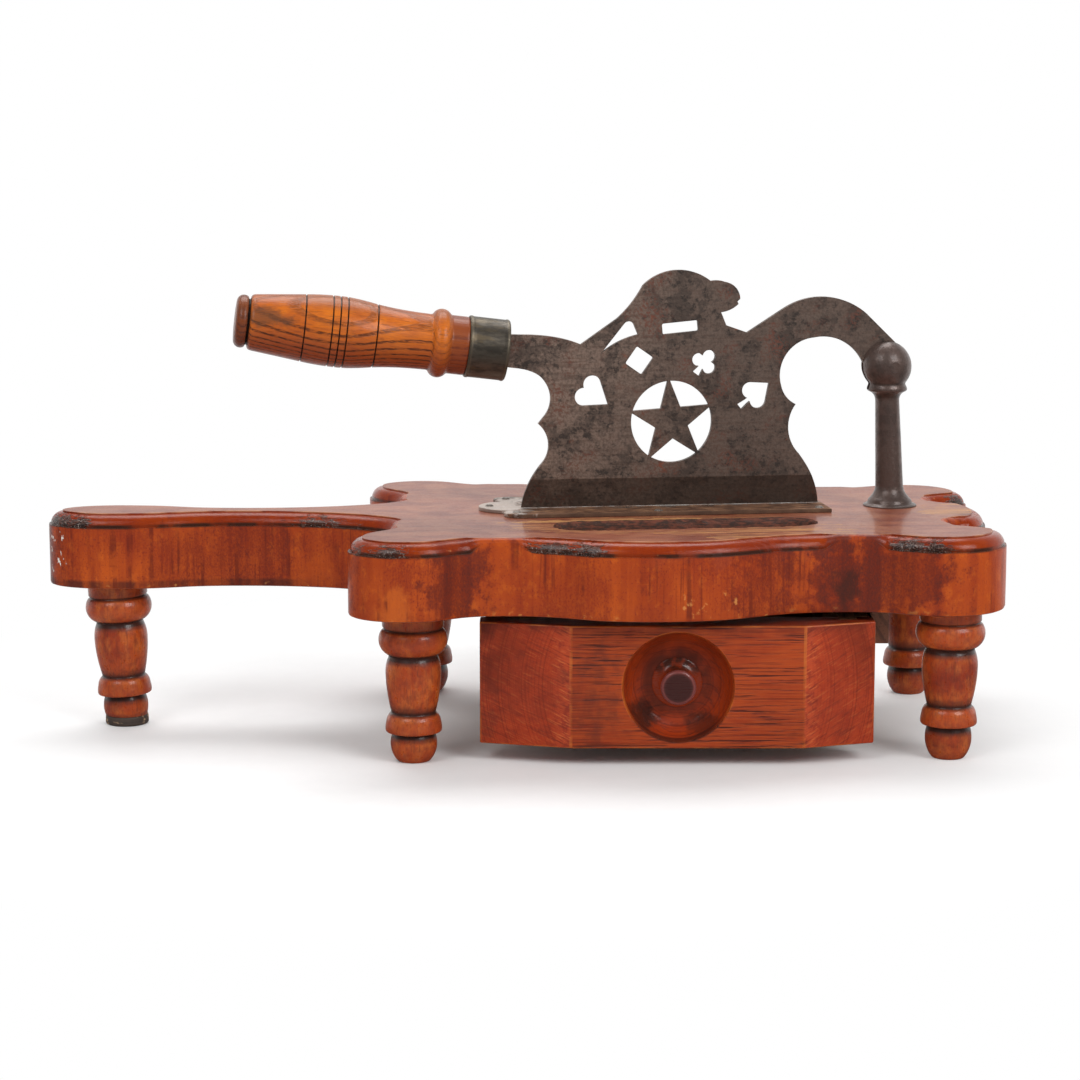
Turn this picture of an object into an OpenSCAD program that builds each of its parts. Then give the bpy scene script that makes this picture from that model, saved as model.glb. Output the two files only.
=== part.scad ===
// Tobacco cutter: a pierced iron blade on a ball post, over a shaped board with turned legs and a drawer.
// Millimetres. X runs along the board from tongue to tail, the front is at -Y, the floor is at Z = 0.

/* [Board] */
// Overall length, tongue tip to tail end
board_len = 442; // [430:1:454]
// Length of the body without the tongue
body_len = 295.5; // [286:0.5:304]
// Width across the two wide lobes
wide_w = 208; // [202:1:216]
// Width across the two narrow lobes
narrow_w = 179; // [173:1:185]
// Thickness of the board
board_t = 35; // [31:0.5:40]
// Width of the rounded tongue end
tongue_w = 39; // [35:0.5:43]
// Width of the tongue at its neck
neck_w = 22; // [18:0.5:26]
// Distance between the two coves beside the tongue
throat_w = 82; // [72:1:90]
// Depth of the coves beside the wide lobes
cove_in = 15; // [10:0.5:18]
// Depth of the coves beside the narrow lobes
tail_cove_in = 10.5; // [7:0.5:14]
// Distance between the two coves beside the tail
tail_w = 68; // [60:1:74]
// Radius of the ovolo along the top edge
mould_r = 5.5; // [4:0.25:7]
// Width of the small step below the ovolo
mould_step = 0.9; // [0.5:0.1:1.4]
// Height of the small drop above the ovolo
mould_drop = 0.7; // [0.3:0.1:1.2]

/* [Legs] */
// Height of a leg below the board
leg_len = 68; // [66:0.5:74]
// Diameter of the bead at the top of a leg
leg_bead_d = 31.4; // [29.4:0.2:34]
// Largest diameter of the barrel
leg_barrel_d = 25.2; // [23.6:0.2:27]
// Diameter of the collar over the foot
leg_collar_d = 25.6; // [23.6:0.2:27]
// Diameter of the foot
leg_foot_d = 20.9; // [19.9:0.1:22]
// Diameter of the tenon in the board
leg_tenon_d = 14; // [10:0.5:16]
// Length of the tenon in the board
leg_tenon_len = 22; // [16:0.5:25]
// Distance of the legs under the wide lobes from the edge of the lobe
wide_leg_in = 28.1; // [25:0.1:31]
// Distance of the legs under the narrow lobes from the edge of the lobe
narrow_leg_in = 20; // [17.5:0.1:23]
// Distance of the tongue leg from the tip of the tongue
tongue_leg_in = 31.4; // [29:0.1:34]
// Lean of the tongue leg, foot towards the body
tongue_lean = 2.8; // [0:0.1:4]
// Thickness of the pad under the tongue leg
pad_t = 4.6; // [3:0.1:6]
// Diameter of the pad under the tongue leg
pad_d = 20.8; // [18:0.2:23]

/* [Cutting line] */
// Angle of the cutting line to the board
cut_skew = 7.5; // [6:0.25:9]
// Distance of the post from the tail end of the board
post_in = 45; // [42:0.5:48]
// Distance of the post behind the middle of the board
post_back = 13; // [10:0.5:16]
// Length of the bed plate with its lobes
plate_len = 163; // [156:1:170]
// Width of the bed plate
plate_w = 60; // [52:1:64]
// Thickness of the bed plate
plate_t = 1.8; // [1.2:0.1:2.5]
// Distance from the post to the near end of the plate
plate_in = 31.4; // [27:0.2:34]
// Length of the drop slot
slot_len = 118; // [100:1:124]
// Width of the drop slot
slot_w = 24; // [18:0.5:25]
// Distance of the slot in front of the blade
slot_front = 45; // [44:0.5:47]

/* [Blade] */
// Thickness of the blade
blade_t = 3; // [2.4:0.1:3.6]
// Length of the cutting edge
edge_len = 142; // [134:1:148]
// Distance from the post to the near end of the edge
edge_in = 33.5; // [31:0.5:36]
// Height of the ground bevel
bevel_h = 13.5; // [9:0.5:15]
// Thickness left at the cutting edge
edge_land = 0.6; // [0.4:0.1:0.9]
// Radius of the eye round the pin
eye_r = 9.5; // [8:0.25:10]
// Radius of the ring round the star
star_r = 19.2; // [17:0.2:20]
// Radius at the inner corners of the star
star_in = 8; // [7:0.2:9]

/* [Post] */
// Height of the pin above the board
pivot_h = 66.8; // [64:0.2:70]
// Diameter of the ball
ball_d = 23.8; // [23:0.2:26]
// Diameter of the shaft at its foot
shaft_d = 13.4; // [11:0.2:15]
// Diameter of the shaft below the collar
shaft_top_d = 11.4; // [9:0.2:13]
// Diameter of the collar
collar_d = 19.2; // [17:0.2:21]
// Diameter of the flange on the board
flange_d = 26; // [23:0.5:29]
// Diameter of the stud through the board
stud_d = 9; // [7:0.5:10]
// Diameter of the pivot pin
pin_d = 5; // [4:0.2:6]

/* [Handle] */
// Length of the grip beyond the ferrule
grip_len = 107.5; // [96:0.5:116]
// Largest diameter of the grip
grip_d = 33; // [30.4:0.2:35]
// Length of the ferrule
ferrule_len = 18.7; // [15:0.1:22]
// Outside diameter of the ferrule
ferrule_d = 28.8; // [27:0.2:30]
// Wall of the ferrule
ferrule_wall = 1.5; // [1:0.1:2]
// Rise of the handle above level
handle_rise = 7; // [4:0.25:10]
// Length of the tang from the mouth of the ferrule
tang_len = 72; // [50:1:80]

/* [Drawer] */
// Width of the drawer front
drawer_w = 177; // [172:0.5:181]
// Height of the drawer front
drawer_h = 55.6; // [50:0.2:57]
// Width of the flat middle of the front
facet_w = 104; // [94:0.5:110]
// Thickness of the front at the middle
front_mid_t = 23; // [21:0.5:25]
// Thickness of the front at its ends
front_end_t = 12; // [10:0.5:14]
// Distance of the front face before the middle of the board
face_out = 89; // [86:0.5:92]
// Gap between the drawer and the board
drawer_gap = 4.1; // [3:0.1:5]
// Length of the drawer box behind the front
drawer_depth = 132; // [122:0.5:138]
// Width of the drawer box
box_w = 152; // [147:0.5:155]
// Thickness of the drawer sides
side_t = 8; // [6.5:0.25:9]
// Thickness of the drawer back
back_t = 8; // [6:0.25:10]
// Thickness of the drawer bottom
bottom_t = 5; // [3.5:0.25:6]
// Diameter of the dish in the front
dish_d = 49.5; // [46:0.5:50]
// Depth of the dish in the front
dish_depth = 12; // [9:0.25:13]
// Diameter of the knob face
knob_d = 15.8; // [13:0.2:18]
// Height of the knob from the bottom of the dish
knob_h = 13.5; // [10:0.25:15]

/* [Runners] */
// Height of a runner below the board
runner_h = 16.5; // [15:0.25:19]
// Thickness of the upright of a runner
runner_t = 8; // [7.5:0.25:9]
// Thickness of the ledge of a runner
ledge_t = 5; // [3.5:0.25:6]
// Thickness of the cleat on the drawer side
cleat_t = 6; // [4.5:0.25:7]

/* [Fits] */
// Gap on moving flat faces
run_gap = 0.3; // [0.2:0.05:0.5]
// Side play of the drawer between its runners
side_play = 1; // [0.6:0.1:1.2]
// Gap round glued and seated pieces
seat_gap = 0.1; // [0.05:0.01:0.15]
// Radial clearance of the pivot pin in the blade
pin_gap = 0.05; // [0.02:0.01:0.09]

/* [Hidden] */
$fn = 72;
steel = [0.30, 0.25, 0.22];
wood = [0.62, 0.34, 0.18];
pale_wood = [0.74, 0.56, 0.38];
dark_wood = [0.36, 0.12, 0.09];

// Heights
board_z = leg_len;
top_z = board_z + board_t;
plate_top = top_z + plate_t;
pivot_z = top_z + pivot_h;

// Ends of the board and of its body
x_tip = -board_len / 2;
x_end = board_len / 2;
x_body = x_end - body_len;

// Curves without their last point: an arc through three points, and a bow with one control point
function arc_centre(a, m, b) =
    let (d = 2 * (a.x * (m.y - b.y) + m.x * (b.y - a.y) + b.x * (a.y - m.y)))
    [(a * a * (m.y - b.y) + m * m * (b.y - a.y) + b * b * (a.y - m.y)) / d,
     (a * a * (b.x - m.x) + m * m * (a.x - b.x) + b * b * (m.x - a.x)) / d];
function arc3(a, m, b, n = 8) =
    let (c = arc_centre(a, m, b))
    let (t0 = atan2(a.y - c.y, a.x - c.x))
    let (t1 = atan2(b.y - c.y, b.x - c.x))
    let (left = cross(m - a, b - m) > 0)
    let (sweep = left ? (t1 - t0 + 720) % 360 : -((t0 - t1 + 720) % 360))
    [for (i = [0:n - 1]) c + norm(a - c) * [cos(t0 + sweep * i / n), sin(t0 + sweep * i / n)]];
function bow3(a, c, b, n = 8) =
    [for (i = [0:n - 1]) let (t = i / n) (1 - t) * (1 - t) * a + 2 * t * (1 - t) * c + t * t * b];

// Board outline: knots along the back half, each with its direction and whether the ovolo reaches it
tongue_round = 31;
neck_at = 92;
throat_in = 17.5;
lobe_round = [25.5, 21];
waist_at = 67.5;
bulge_at = 134.5;
bulge_in = 1;
tail_cove_at = 69;
small_round = [28, 29];
tail_in = 23;
tail_round = [13, 6.5];
tail_short = 0.5;
along = [1, 0];
away = [0, 1];
back = [0, -1];
knots = [
    [[x_tip, 0], away, 1],
    [[x_tip + tongue_round, tongue_w / 2], along, 1],
    [[x_tip + neck_at, neck_w / 2], along, 1],
    [[x_body + throat_in, throat_w / 2], away, 0],
    [[x_body, wide_w / 2 - lobe_round.y], away, 1],
    [[x_body + lobe_round.x, wide_w / 2], along, 1],
    [[x_body + waist_at, wide_w / 2 - cove_in], along, 0],
    [[x_body + bulge_at, wide_w / 2 - bulge_in], along, 1],
    [[x_end - tail_cove_at, narrow_w / 2 - tail_cove_in], along, 0],
    [[x_end - small_round.x, narrow_w / 2], along, 1],
    [[x_end, narrow_w / 2 - small_round.y], back, 1],
    [[x_end - tail_in, tail_w / 2], back, 0],
    [[x_end - tail_round.x, tail_w / 2 - tail_round.y], along, 1],
    [[x_end - tail_short, 0], back, 1],
];
knot_pull = 0.55;
edge_pitch = 4.4;
least_steps = 5;
// The ovolo stops short of a cove: it starts at the first of these distances and is whole at the second
stop_from = 5;
stop_to = 11.5;

function span_len(i) = norm(knots[i + 1][0] - knots[i][0]);
function span_steps(i) = max(least_steps, round(span_len(i) / edge_pitch));
function reach(a, b, dir) = abs((b - a) * dir) * knot_pull;
function span_point(i, t) =
    let (a = knots[i][0], b = knots[i + 1][0], da = knots[i][1], db = knots[i + 1][1])
    let (ca = a + da * reach(a, b, da), cb = b - db * reach(a, b, db), u = 1 - t)
    u * u * u * a + 3 * u * u * t * ca + 3 * u * t * t * cb + t * t * t * b;
function span_slope(i, t) =
    let (a = knots[i][0], b = knots[i + 1][0], da = knots[i][1], db = knots[i + 1][1])
    let (ca = a + da * reach(a, b, da), cb = b - db * reach(a, b, db), u = 1 - t)
    u * u * (ca - a) + 2 * u * t * (cb - ca) + t * t * (b - cb);
function eased(t) = let (c = min(1, max(0, t))) c * c * (3 - 2 * c);
function stop_share(moulded, d) = moulded == 1 ? 1 : eased((d - stop_from) / (stop_to - stop_from));
function span_mask(i, t) =
    stop_share(knots[i][2], t * span_len(i)) * stop_share(knots[i + 1][2], (1 - t) * span_len(i));
function inward(v) = [v.y, -v.x] / norm(v);

// Each outline entry: point, inward direction, share of the ovolo, number of its span
last_span = len(knots) - 2;
half_edge = [
    for (i = [0:last_span])
        for (j = [0:span_steps(i) - 1])
            let (t = j / span_steps(i))
            [span_point(i, t), inward(span_slope(i, t)), span_mask(i, t), i]
];
tail_knot = [[knots[last_span + 1][0], -along, 1]];
function mirrored(e) = [[e[0].x, -e[0].y], [e[1].x, -e[1].y], e[2]];
edge = concat(
    half_edge,
    tail_knot,
    [for (i = [len(half_edge) - 1:-1:1]) mirrored(half_edge[i])]
);

// Section of the board edge from underside to top, as inset and height, for a share of the ovolo
soft_r = 1.4;
soft_step = 0.2;
soft_drop = 0.1;
under_r = 1.3;
under_cut = 0.3;
ovolo_angles = [0, 30, 60, 90];
function ovolo_r(m) = soft_r + (mould_r - soft_r) * m;
function ovolo_step(m) = soft_step + (mould_step - soft_step) * m;
function ovolo_drop(m) = soft_drop + (mould_drop - soft_drop) * m;
function edge_section(m) =
    let (r = ovolo_r(m), step = ovolo_step(m), high = board_t - ovolo_drop(m))
    concat(
        [[under_r, 0], [under_r * under_cut, under_r * under_cut], [0, under_r], [0, high - r]],
        [for (a = ovolo_angles) [step + r * (1 - cos(a)), high - r * (1 - sin(a))]],
        [[step + r, board_t]]
    );
rows = len(edge_section(1));
count = len(edge);
rim_points = [
    for (r = [0:rows - 1])
        for (e = edge)
            let (s = edge_section(e[2])[r], p = e[0] + e[1] * s[0])
            [p.x, p.y, s[1]]
];

// The flat faces are fans round hubs, each in sight of its own spans of the outline
hub_in = 34;
hubs = [
    [x_tip + tongue_round, 0],
    [x_tip + neck_at, 0],
    [x_body + hub_in, 0],
    [x_body + hub_in, wide_w / 2 - hub_in],
    [x_body + bulge_at, 0],
    [x_end - hub_in, narrow_w / 2 - hub_in],
    [x_end - hub_in, 0],
];
span_hub = [0, 1, 2, 3, 3, 3, 4, 4, 5, 5, 5, 6, 6];
hub_count = len(hubs);
half_count = len(half_edge);
function hub_of(i) = span_hub[half_edge[i][3]];
function far_side(i) = (count - i) % count;
function hub_points(z, side) = [for (h = hubs) [h.x, side * h.y, z]];
low_hubs = rows * count;
high_hubs = low_hubs + 2 * hub_count;
board_points = concat(
    rim_points,
    hub_points(0, 1),
    hub_points(0, -1),
    hub_points(board_t, 1),
    hub_points(board_t, -1)
);
// Hubs on the middle line are one point for both halves
function hub_index(h, start, half) = start + h + (half == 1 && hubs[h].y != 0 ? hub_count : 0);
function half_fan(rim, start, half) = concat(
    [
        for (i = [0:half_count - 1])
            [
                rim + (half == 0 ? i : far_side(i)),
                rim + (half == 0 ? i + 1 : far_side(i + 1)),
                hub_index(hub_of(i), start, half),
            ]
    ],
    [
        for (i = [1:half_count - 1])
            if (hub_of(i) != hub_of(i - 1))
                [
                    rim + (half == 0 ? i : far_side(i)),
                    hub_index(hub_of(i), start, half),
                    hub_index(hub_of(i - 1), start, half),
                ]
    ],
    [for (t = [[2, 3, 4], [4, 5, 6]]) [for (h = t) hub_index(h, start, half)]]
);
function turned(faces) = [for (f = faces) [f[0], f[2], f[1]]];
top_rim = (rows - 1) * count;
board_faces = concat(
    turned(half_fan(0, low_hubs, 0)),
    half_fan(0, low_hubs, 1),
    half_fan(top_rim, high_hubs, 0),
    turned(half_fan(top_rim, high_hubs, 1)),
    [
        for (r = [0:rows - 2])
            for (i = [0:count - 1])
                let (k = (i + 1) % count)
                [r * count + i, (r + 1) * count + k, (r + 1) * count + i]
    ],
    [
        for (r = [0:rows - 2])
            for (i = [0:count - 1])
                let (k = (i + 1) % count)
                [r * count + i, r * count + k, (r + 1) * count + k]
    ]
);

// Places of the legs at the board, and of the pad under the leaning one
wide_leg_along = 28.5;
narrow_leg_along = 25.5;
wide_leg_x = x_body + wide_leg_along;
narrow_leg_x = x_end - narrow_leg_along;
wide_leg_y = wide_w / 2 - wide_leg_in;
narrow_leg_y = narrow_w / 2 - narrow_leg_in;
leg_places = [
    [wide_leg_x, -wide_leg_y],
    [wide_leg_x, wide_leg_y],
    [narrow_leg_x, -narrow_leg_y],
    [narrow_leg_x, narrow_leg_y],
];
tongue_leg_x = x_tip + tongue_leg_in;
pad_x = tongue_leg_x + leg_len * tan(tongue_lean);
module at_tongue_leg() {
    translate([tongue_leg_x, 0, board_z])
        rotate([0, -tongue_lean, 0])
            translate([0, 0, -leg_len])
                children();
}

// Frames of the cutting line and of the pin
post_x = x_end - post_in;
module at_cut() {
    translate([post_x, post_back, 0])
        rotate([0, 0, cut_skew])
            children();
}
module at_pivot() {
    at_cut()
        translate([0, 0, pivot_z])
            children();
}

// Nails and screws, head up at Z = 0, with a given extra radius for their holes
nail_r = 0.9;
nail_head_r = 1.7;
nail_head_t = 0.6;
module nail(length, extra = 0) {
    translate([0, 0, -length - extra])
        cylinder(r = nail_r + extra, h = length + extra);
    translate([0, 0, -nail_head_t - extra])
        cylinder(r = nail_head_r + extra, h = nail_head_t + extra);
}
screw_r = 1.8;
screw_head_r = 3.5;
screw_head_h = 2.6;
screw_in = 15;
screw_slot = 0.9;
screw_slot_depth = 1;
screw_len = runner_h + screw_in;
nail_gap = 0.02;

// Bed plate places, from the post along the cutting line and across it from the middle of the plate
plate_back = 10;
lobe_r = 15;
side_lobe_r = 8;
lobe_step = 2.4;
plate_tip = -plate_in - plate_len;
lobe_x = plate_tip + lobe_r;
side_lobe_x = lobe_x + lobe_step;
side_lobe_y = plate_w / 2 - side_lobe_r;
plate_edge_in = 5;
lobe_nail_out = 2;
plate_nail_len = 15;
plate_head_r = 2.1;
plate_crown_r = 1.3;
plate_head_t = 0.7;
plate_nail_places = [
    [plate_tip + plate_edge_in, 0],
    [side_lobe_x - lobe_nail_out, side_lobe_y],
    [side_lobe_x - lobe_nail_out, -side_lobe_y],
    [-plate_in - plate_len / 2, plate_w / 2 - plate_edge_in],
    [-plate_in - plate_len / 2, plate_edge_in - plate_w / 2],
    [-plate_in - plate_edge_in, plate_w / 2 - plate_edge_in],
    [-plate_in - plate_edge_in, plate_edge_in - plate_w / 2],
];

// Slot centre from the post along the cutting line, and the straight part between its round ends
slot_at = 105.7;
slot_straight = slot_len - slot_w;

// Stud, washer and nut in a recess under the board
recess_r = 11;
recess_h = 9;
washer_r = 9.5;
washer_t = 1.5;
nut_w = 13;
nut_h = 6;
stud_out = 0.5;
recess_top = board_z + recess_h;
stud_end = recess_top - washer_t - nut_h - stud_out;
stud_gap = 0.2;

// Drawer and runner places
drawer_in = 148.7;
drawer_x = x_end - drawer_in;
facet_shift = 4.2;
box_shift = 4.85;
box_x = drawer_x + box_shift;
face_y = -face_out;
front_back_y = face_y + front_mid_t;
box_back_y = front_back_y + drawer_depth;
drawer_top = board_z - drawer_gap;
drawer_low = drawer_top - drawer_h;
side_up = 3.7;
box_low = drawer_low + side_up;
side_out = box_w / 2;
side_inner = side_out - side_t;
housing = 7;
side_front_y = front_back_y - housing;
side_len = box_back_y - side_front_y;
groove = 4;
front_groove = 5;
bottom_up = 4;
bottom_low = box_low + bottom_up;
bottom_high = bottom_low + bottom_t;
cleat_out = side_out + cleat_t;
web_in = cleat_out + side_play;
ledge_play = 0.8;
runner_low = board_z - runner_h;
ledge_top = runner_low + ledge_t;
cleat_low = ledge_top + run_gap;
runner_past = 1;
runner_back_y = box_back_y + runner_past;
screw_inset = 20;
runner_screw_places = [
    front_back_y + screw_inset,
    (front_back_y + runner_back_y) / 2,
    runner_back_y - screw_inset,
];
cleat_nail_inset = 14;
cleat_nail_places = [
    front_back_y + cleat_nail_inset,
    (front_back_y + box_back_y) / 2,
    box_back_y - cleat_nail_inset,
];
cleat_nail_bite = 4.8;
cleat_nail_len = cleat_t + cleat_nail_bite;
back_nail_bite = 12;
back_nail_len = side_t + back_nail_bite;
back_nail_up = 10;
back_nail_down = 12;
back_nail_z = [bottom_high + back_nail_up, drawer_top - back_nail_down];
sides = [-1, 1];
// Extra length of a cutter beyond the face that it cuts
past = 1;

module side_nail(side, y, z, x_face, length, extra = 0) {
    translate([box_x + side * x_face, y, z])
        rotate([0, side * 90, 0])
            nail(length, extra);
}
module all_drawer_nails(extra = 0) {
    for (side = sides) {
        for (y = cleat_nail_places)
            side_nail(side, y, (cleat_low + drawer_top) / 2, cleat_out, cleat_nail_len, extra);
        for (z = back_nail_z)
            side_nail(side, box_back_y - back_t / 2, z, side_out, back_nail_len, extra);
    }
}
module runner_screw(x, y, extra = 0) {
    translate([x, y, runner_low]) {
        cylinder(r1 = screw_head_r + extra, r2 = screw_r + extra, h = screw_head_h);
        cylinder(r = screw_r + extra, h = screw_len + extra);
    }
}
function runner_screw_x(side) = box_x + side * (web_in + runner_t / 2);
module all_runner_screws(extra = 0) {
    for (side = sides)
        for (y = runner_screw_places)
            runner_screw(runner_screw_x(side), y, extra);
}
module all_plate_nails(extra = 0) {
    at_cut()
        translate([0, plate_back, plate_top])
            for (p = plate_nail_places)
                translate([p.x, p.y, -plate_nail_len])
                    cylinder(r = nail_r + extra, h = plate_nail_len + extra);
}

// Leg turning, as radius and height from the floor
foot_h = 13.4;
collar_h = 8.8;
barrel_h = 26.4;
bead_h = 11.8;
foot_flat = 7.2;
foot_wide_z = 6.4;
foot_waist = 9.3;
collar_wide_z = foot_h + 3.2;
barrel_low_r = 10;
neck_r = 10.9;
cap_r = 14;
leg_foot_r = leg_foot_d / 2;
leg_collar_r = leg_collar_d / 2;
leg_barrel_r = leg_barrel_d / 2;
leg_bead_r = leg_bead_d / 2;
collar_turn = [leg_collar_r - 0.5, foot_h + 6];
barrel_z = foot_h + collar_h;
bead_z = barrel_z + barrel_h;
barrel_wide_z = bead_z - 9.2;
bead_wide_z = bead_z + 7;
cap_z = bead_z + bead_h;
leg_line = concat(
    [[0, 0]],
    arc3([foot_flat, 0], [leg_foot_r, foot_wide_z], [foot_waist, foot_h]),
    [[foot_waist, foot_h], [leg_collar_r - 0.9, foot_h + 0.1]],
    arc3([leg_collar_r - 0.8, foot_h + 0.3], [leg_collar_r, collar_wide_z], collar_turn, 5),
    arc3(collar_turn, [leg_collar_r - 1.3, barrel_z - 1.2], [barrel_low_r + 0.3, barrel_z], 5),
    bow3([barrel_low_r, barrel_z], [leg_barrel_r - 0.1, barrel_z + 10], [leg_barrel_r, barrel_wide_z]),
    arc3([leg_barrel_r, barrel_wide_z], [leg_barrel_r - 0.4, bead_z - 4], [neck_r, bead_z - 0.2], 7),
    [[neck_r, bead_z], [neck_r + 0.6, bead_z + 0.1]],
    arc3([neck_r + 0.7, bead_z + 0.3], [leg_bead_r, bead_wide_z], [cap_r - 0.1, cap_z], 10),
    [
        [cap_r - 0.6, cap_z],
        [cap_r - 0.6, cap_z + 0.6],
        [cap_r, cap_z + 0.9],
        [cap_r, leg_len],
    ]
);
tenon_line = [[leg_tenon_d / 2, leg_len + leg_tenon_len], [0, leg_len + leg_tenon_len]];
module turned_leg(place) {
    translate([place.x, place.y, 0])
        rotate_extrude()
            polygon(concat(leg_line, [[leg_tenon_d / 2, leg_len]], tenon_line));
}

// Post turning, as radius and height from the top of the board
flange_h = 1.6;
flare_h = 8;
collar_low = pivot_h - 12;
collar_high = pivot_h - 8.6;
flange_r = flange_d / 2;
shaft_r = shaft_d / 2;
shaft_top_r = shaft_top_d / 2;
collar_r = collar_d / 2;
collar_rim = collar_r - 0.5;
post_line = concat(
    [[0, stud_end - top_z], [stud_d / 2, stud_end - top_z], [stud_d / 2, 0]],
    [[flange_r, 0], [flange_r, flange_h], [flange_r - 1, flange_h + 0.3]],
    bow3([flange_r - 1.2, flange_h + 0.5], [shaft_r + 0.3, flange_h + 0.9], [shaft_r, flare_h + 2], 8),
    [[shaft_r, flare_h + 2], [shaft_top_r, collar_low - 6]],
    bow3([shaft_top_r, collar_low - 5], [shaft_top_r + 0.1, collar_low - 0.6], [collar_rim, collar_low], 6),
    arc3([collar_rim, collar_low + 0.1], [collar_r, collar_low + 1.7], [collar_rim, collar_high], 5),
    [[collar_rim, collar_high], [collar_r - 2, collar_high + 0.2], [0, collar_high + 0.2]]
);
fork_gap = blade_t + 2 * run_gap;
fork_low = pivot_h - eye_r - 1.6;

// Blade outline in the frame of the pin: x along the cutting line, y up
edge_y = plate_top + run_gap - pivot_z;
heel = [-edge_in, edge_y];
toe = [-edge_in - edge_len, edge_y];
eye_in = 196;
eye_out = 406;
function eye_point(a) = eye_r * [cos(a), sin(a)];
handle_root = [-182.4, 9.2];
axis_dir = [-cos(handle_rise), sin(handle_rise)];
axis_up = [sin(handle_rise), cos(handle_rise)];
function on_handle_line(s, h) = handle_root + s * axis_dir + h * axis_up;
tang_seat = 2;
tang_high = 7.6;
tang_half = 4.5;
tang_end = 3;
blade_line = concat(
    [toe],
    bow3(heel, [-edge_in - 1, edge_y + 12], [-43.5, -41]),
    arc3([-43.5, -41], [-48.7, -27], [-45.3, -17.8]),
    arc3([-47.8, -16.1], [-42.8, 11.4], [-13.8, 0.7], 22),
    bow3([-13.8, 0.7], [-12, -1.2], eye_point(eye_in), 4),
    [for (i = [0:16]) eye_point(eye_in + (eye_out - eye_in) * i / 16)],
    arc3([-11.9, 24.8], [-31, 32.7], [-52, 27], 10),
    [[-52, 27]],
    arc3([-68.6, 16.4], [-74.6, 16.6], [-78.4, 19.4], 4),
    [[-78.4, 19.4]],
    arc3([-81.3, 26.2], [-76, 27.3], [-72.8, 30.6], 5),
    [[-72.8, 30.6], [-74.6, 31.6]],
    arc3([-72.2, 32.4], [-73.7, 37.4], [-80, 40.3], 6),
    arc3([-80, 40.3], [-82.8, 39.7], [-85.7, 40.9], 3),
    arc3([-85.7, 40.9], [-102.8, 45.9], [-118.5, 38.8], 12),
    arc3([-118.5, 38.8], [-125, 29.2], [-130.5, 23.6], 5),
    [[-130.5, 23.6], [-147.6, 11.7]],
    bow3([-147.6, 11.7], [-160, 17], on_handle_line(-2, tang_high), 8),
    [
        on_handle_line(0, tang_high),
        on_handle_line(tang_seat, tang_high),
        on_handle_line(tang_seat, tang_half),
        on_handle_line(tang_len, tang_end),
        on_handle_line(tang_len, -tang_end),
        on_handle_line(tang_seat, -tang_half),
        on_handle_line(tang_seat, -tang_high),
        on_handle_line(0, -tang_high),
    ],
    bow3(on_handle_line(-4, -tang_high), [-168, 0.2], [-164.3, -5.7], 5),
    arc3([-164.3, -5.7], [-161.8, -13], [-164.2, -21], 6),
    [[-164.2, -21]],
    arc3([-167.6, -25.2], [-162.7, -34.8], [-166.5, -44.5], 8),
    bow3([-166.5, -44.5], [toe.x + 1.5, edge_y + 11], toe)
);

// Pierced shapes: places in the frame of the pin, sizes from the traditional suits
star_at = [-104.6, -25];
star_turn = 94;
star_out = star_r + 1.8;
star_line = [
    for (i = [0:9])
        let (r = i % 2 == 0 ? star_out : star_in)
        r * [cos(star_turn + i * 36), sin(star_turn + i * 36)]
];
heart_at = [-144.2, -9.9];
heart_turn = 55;
heart_r = 3.9;
heart_half = 3.1;
heart_tip = 11.6;
diamond_at = [-120, 3.9];
diamond_turn = -35;
diamond_side = 9.6;
club_at = [-89.1, 2.6];
club_turn = -37;
club_r = 3;
spade_at = [-65.4, -13.1];
spade_turn = -52;
spade_r = 3.8;
spade_half = 3;
spade_tip = 9.2;
stem_w = 2.6;
bar_at = [-100.8, 19.2];
bar_turn = 5.3;
bar_size = [17, 5];
corner_r = 0.8;
tear_shape = concat(
    arc3([-127.4, 20.9], [-124.3, 22.1], [-122.4, 20], 4),
    [[-122.4, 20]],
    arc3([-120.7, 16], [-129.5, 13], [-138.1, 7.4], 5),
    [[-138.1, 7.4]]
);
function ring(c, r, from, to, n) =
    [for (i = [0:n]) let (t = from + (to - from) * i / n) c + r * [cos(t), sin(t)]];
module rounded(size) {
    x = size.x / 2 - corner_r;
    y = size.y / 2 - corner_r;
    polygon(concat(
        ring([x, y], corner_r, 0, 90, 4),
        ring([-x, y], corner_r, 90, 180, 4),
        ring([-x, -y], corner_r, 180, 270, 4),
        ring([x, -y], corner_r, 270, 360, 4)
    ));
}
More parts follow.
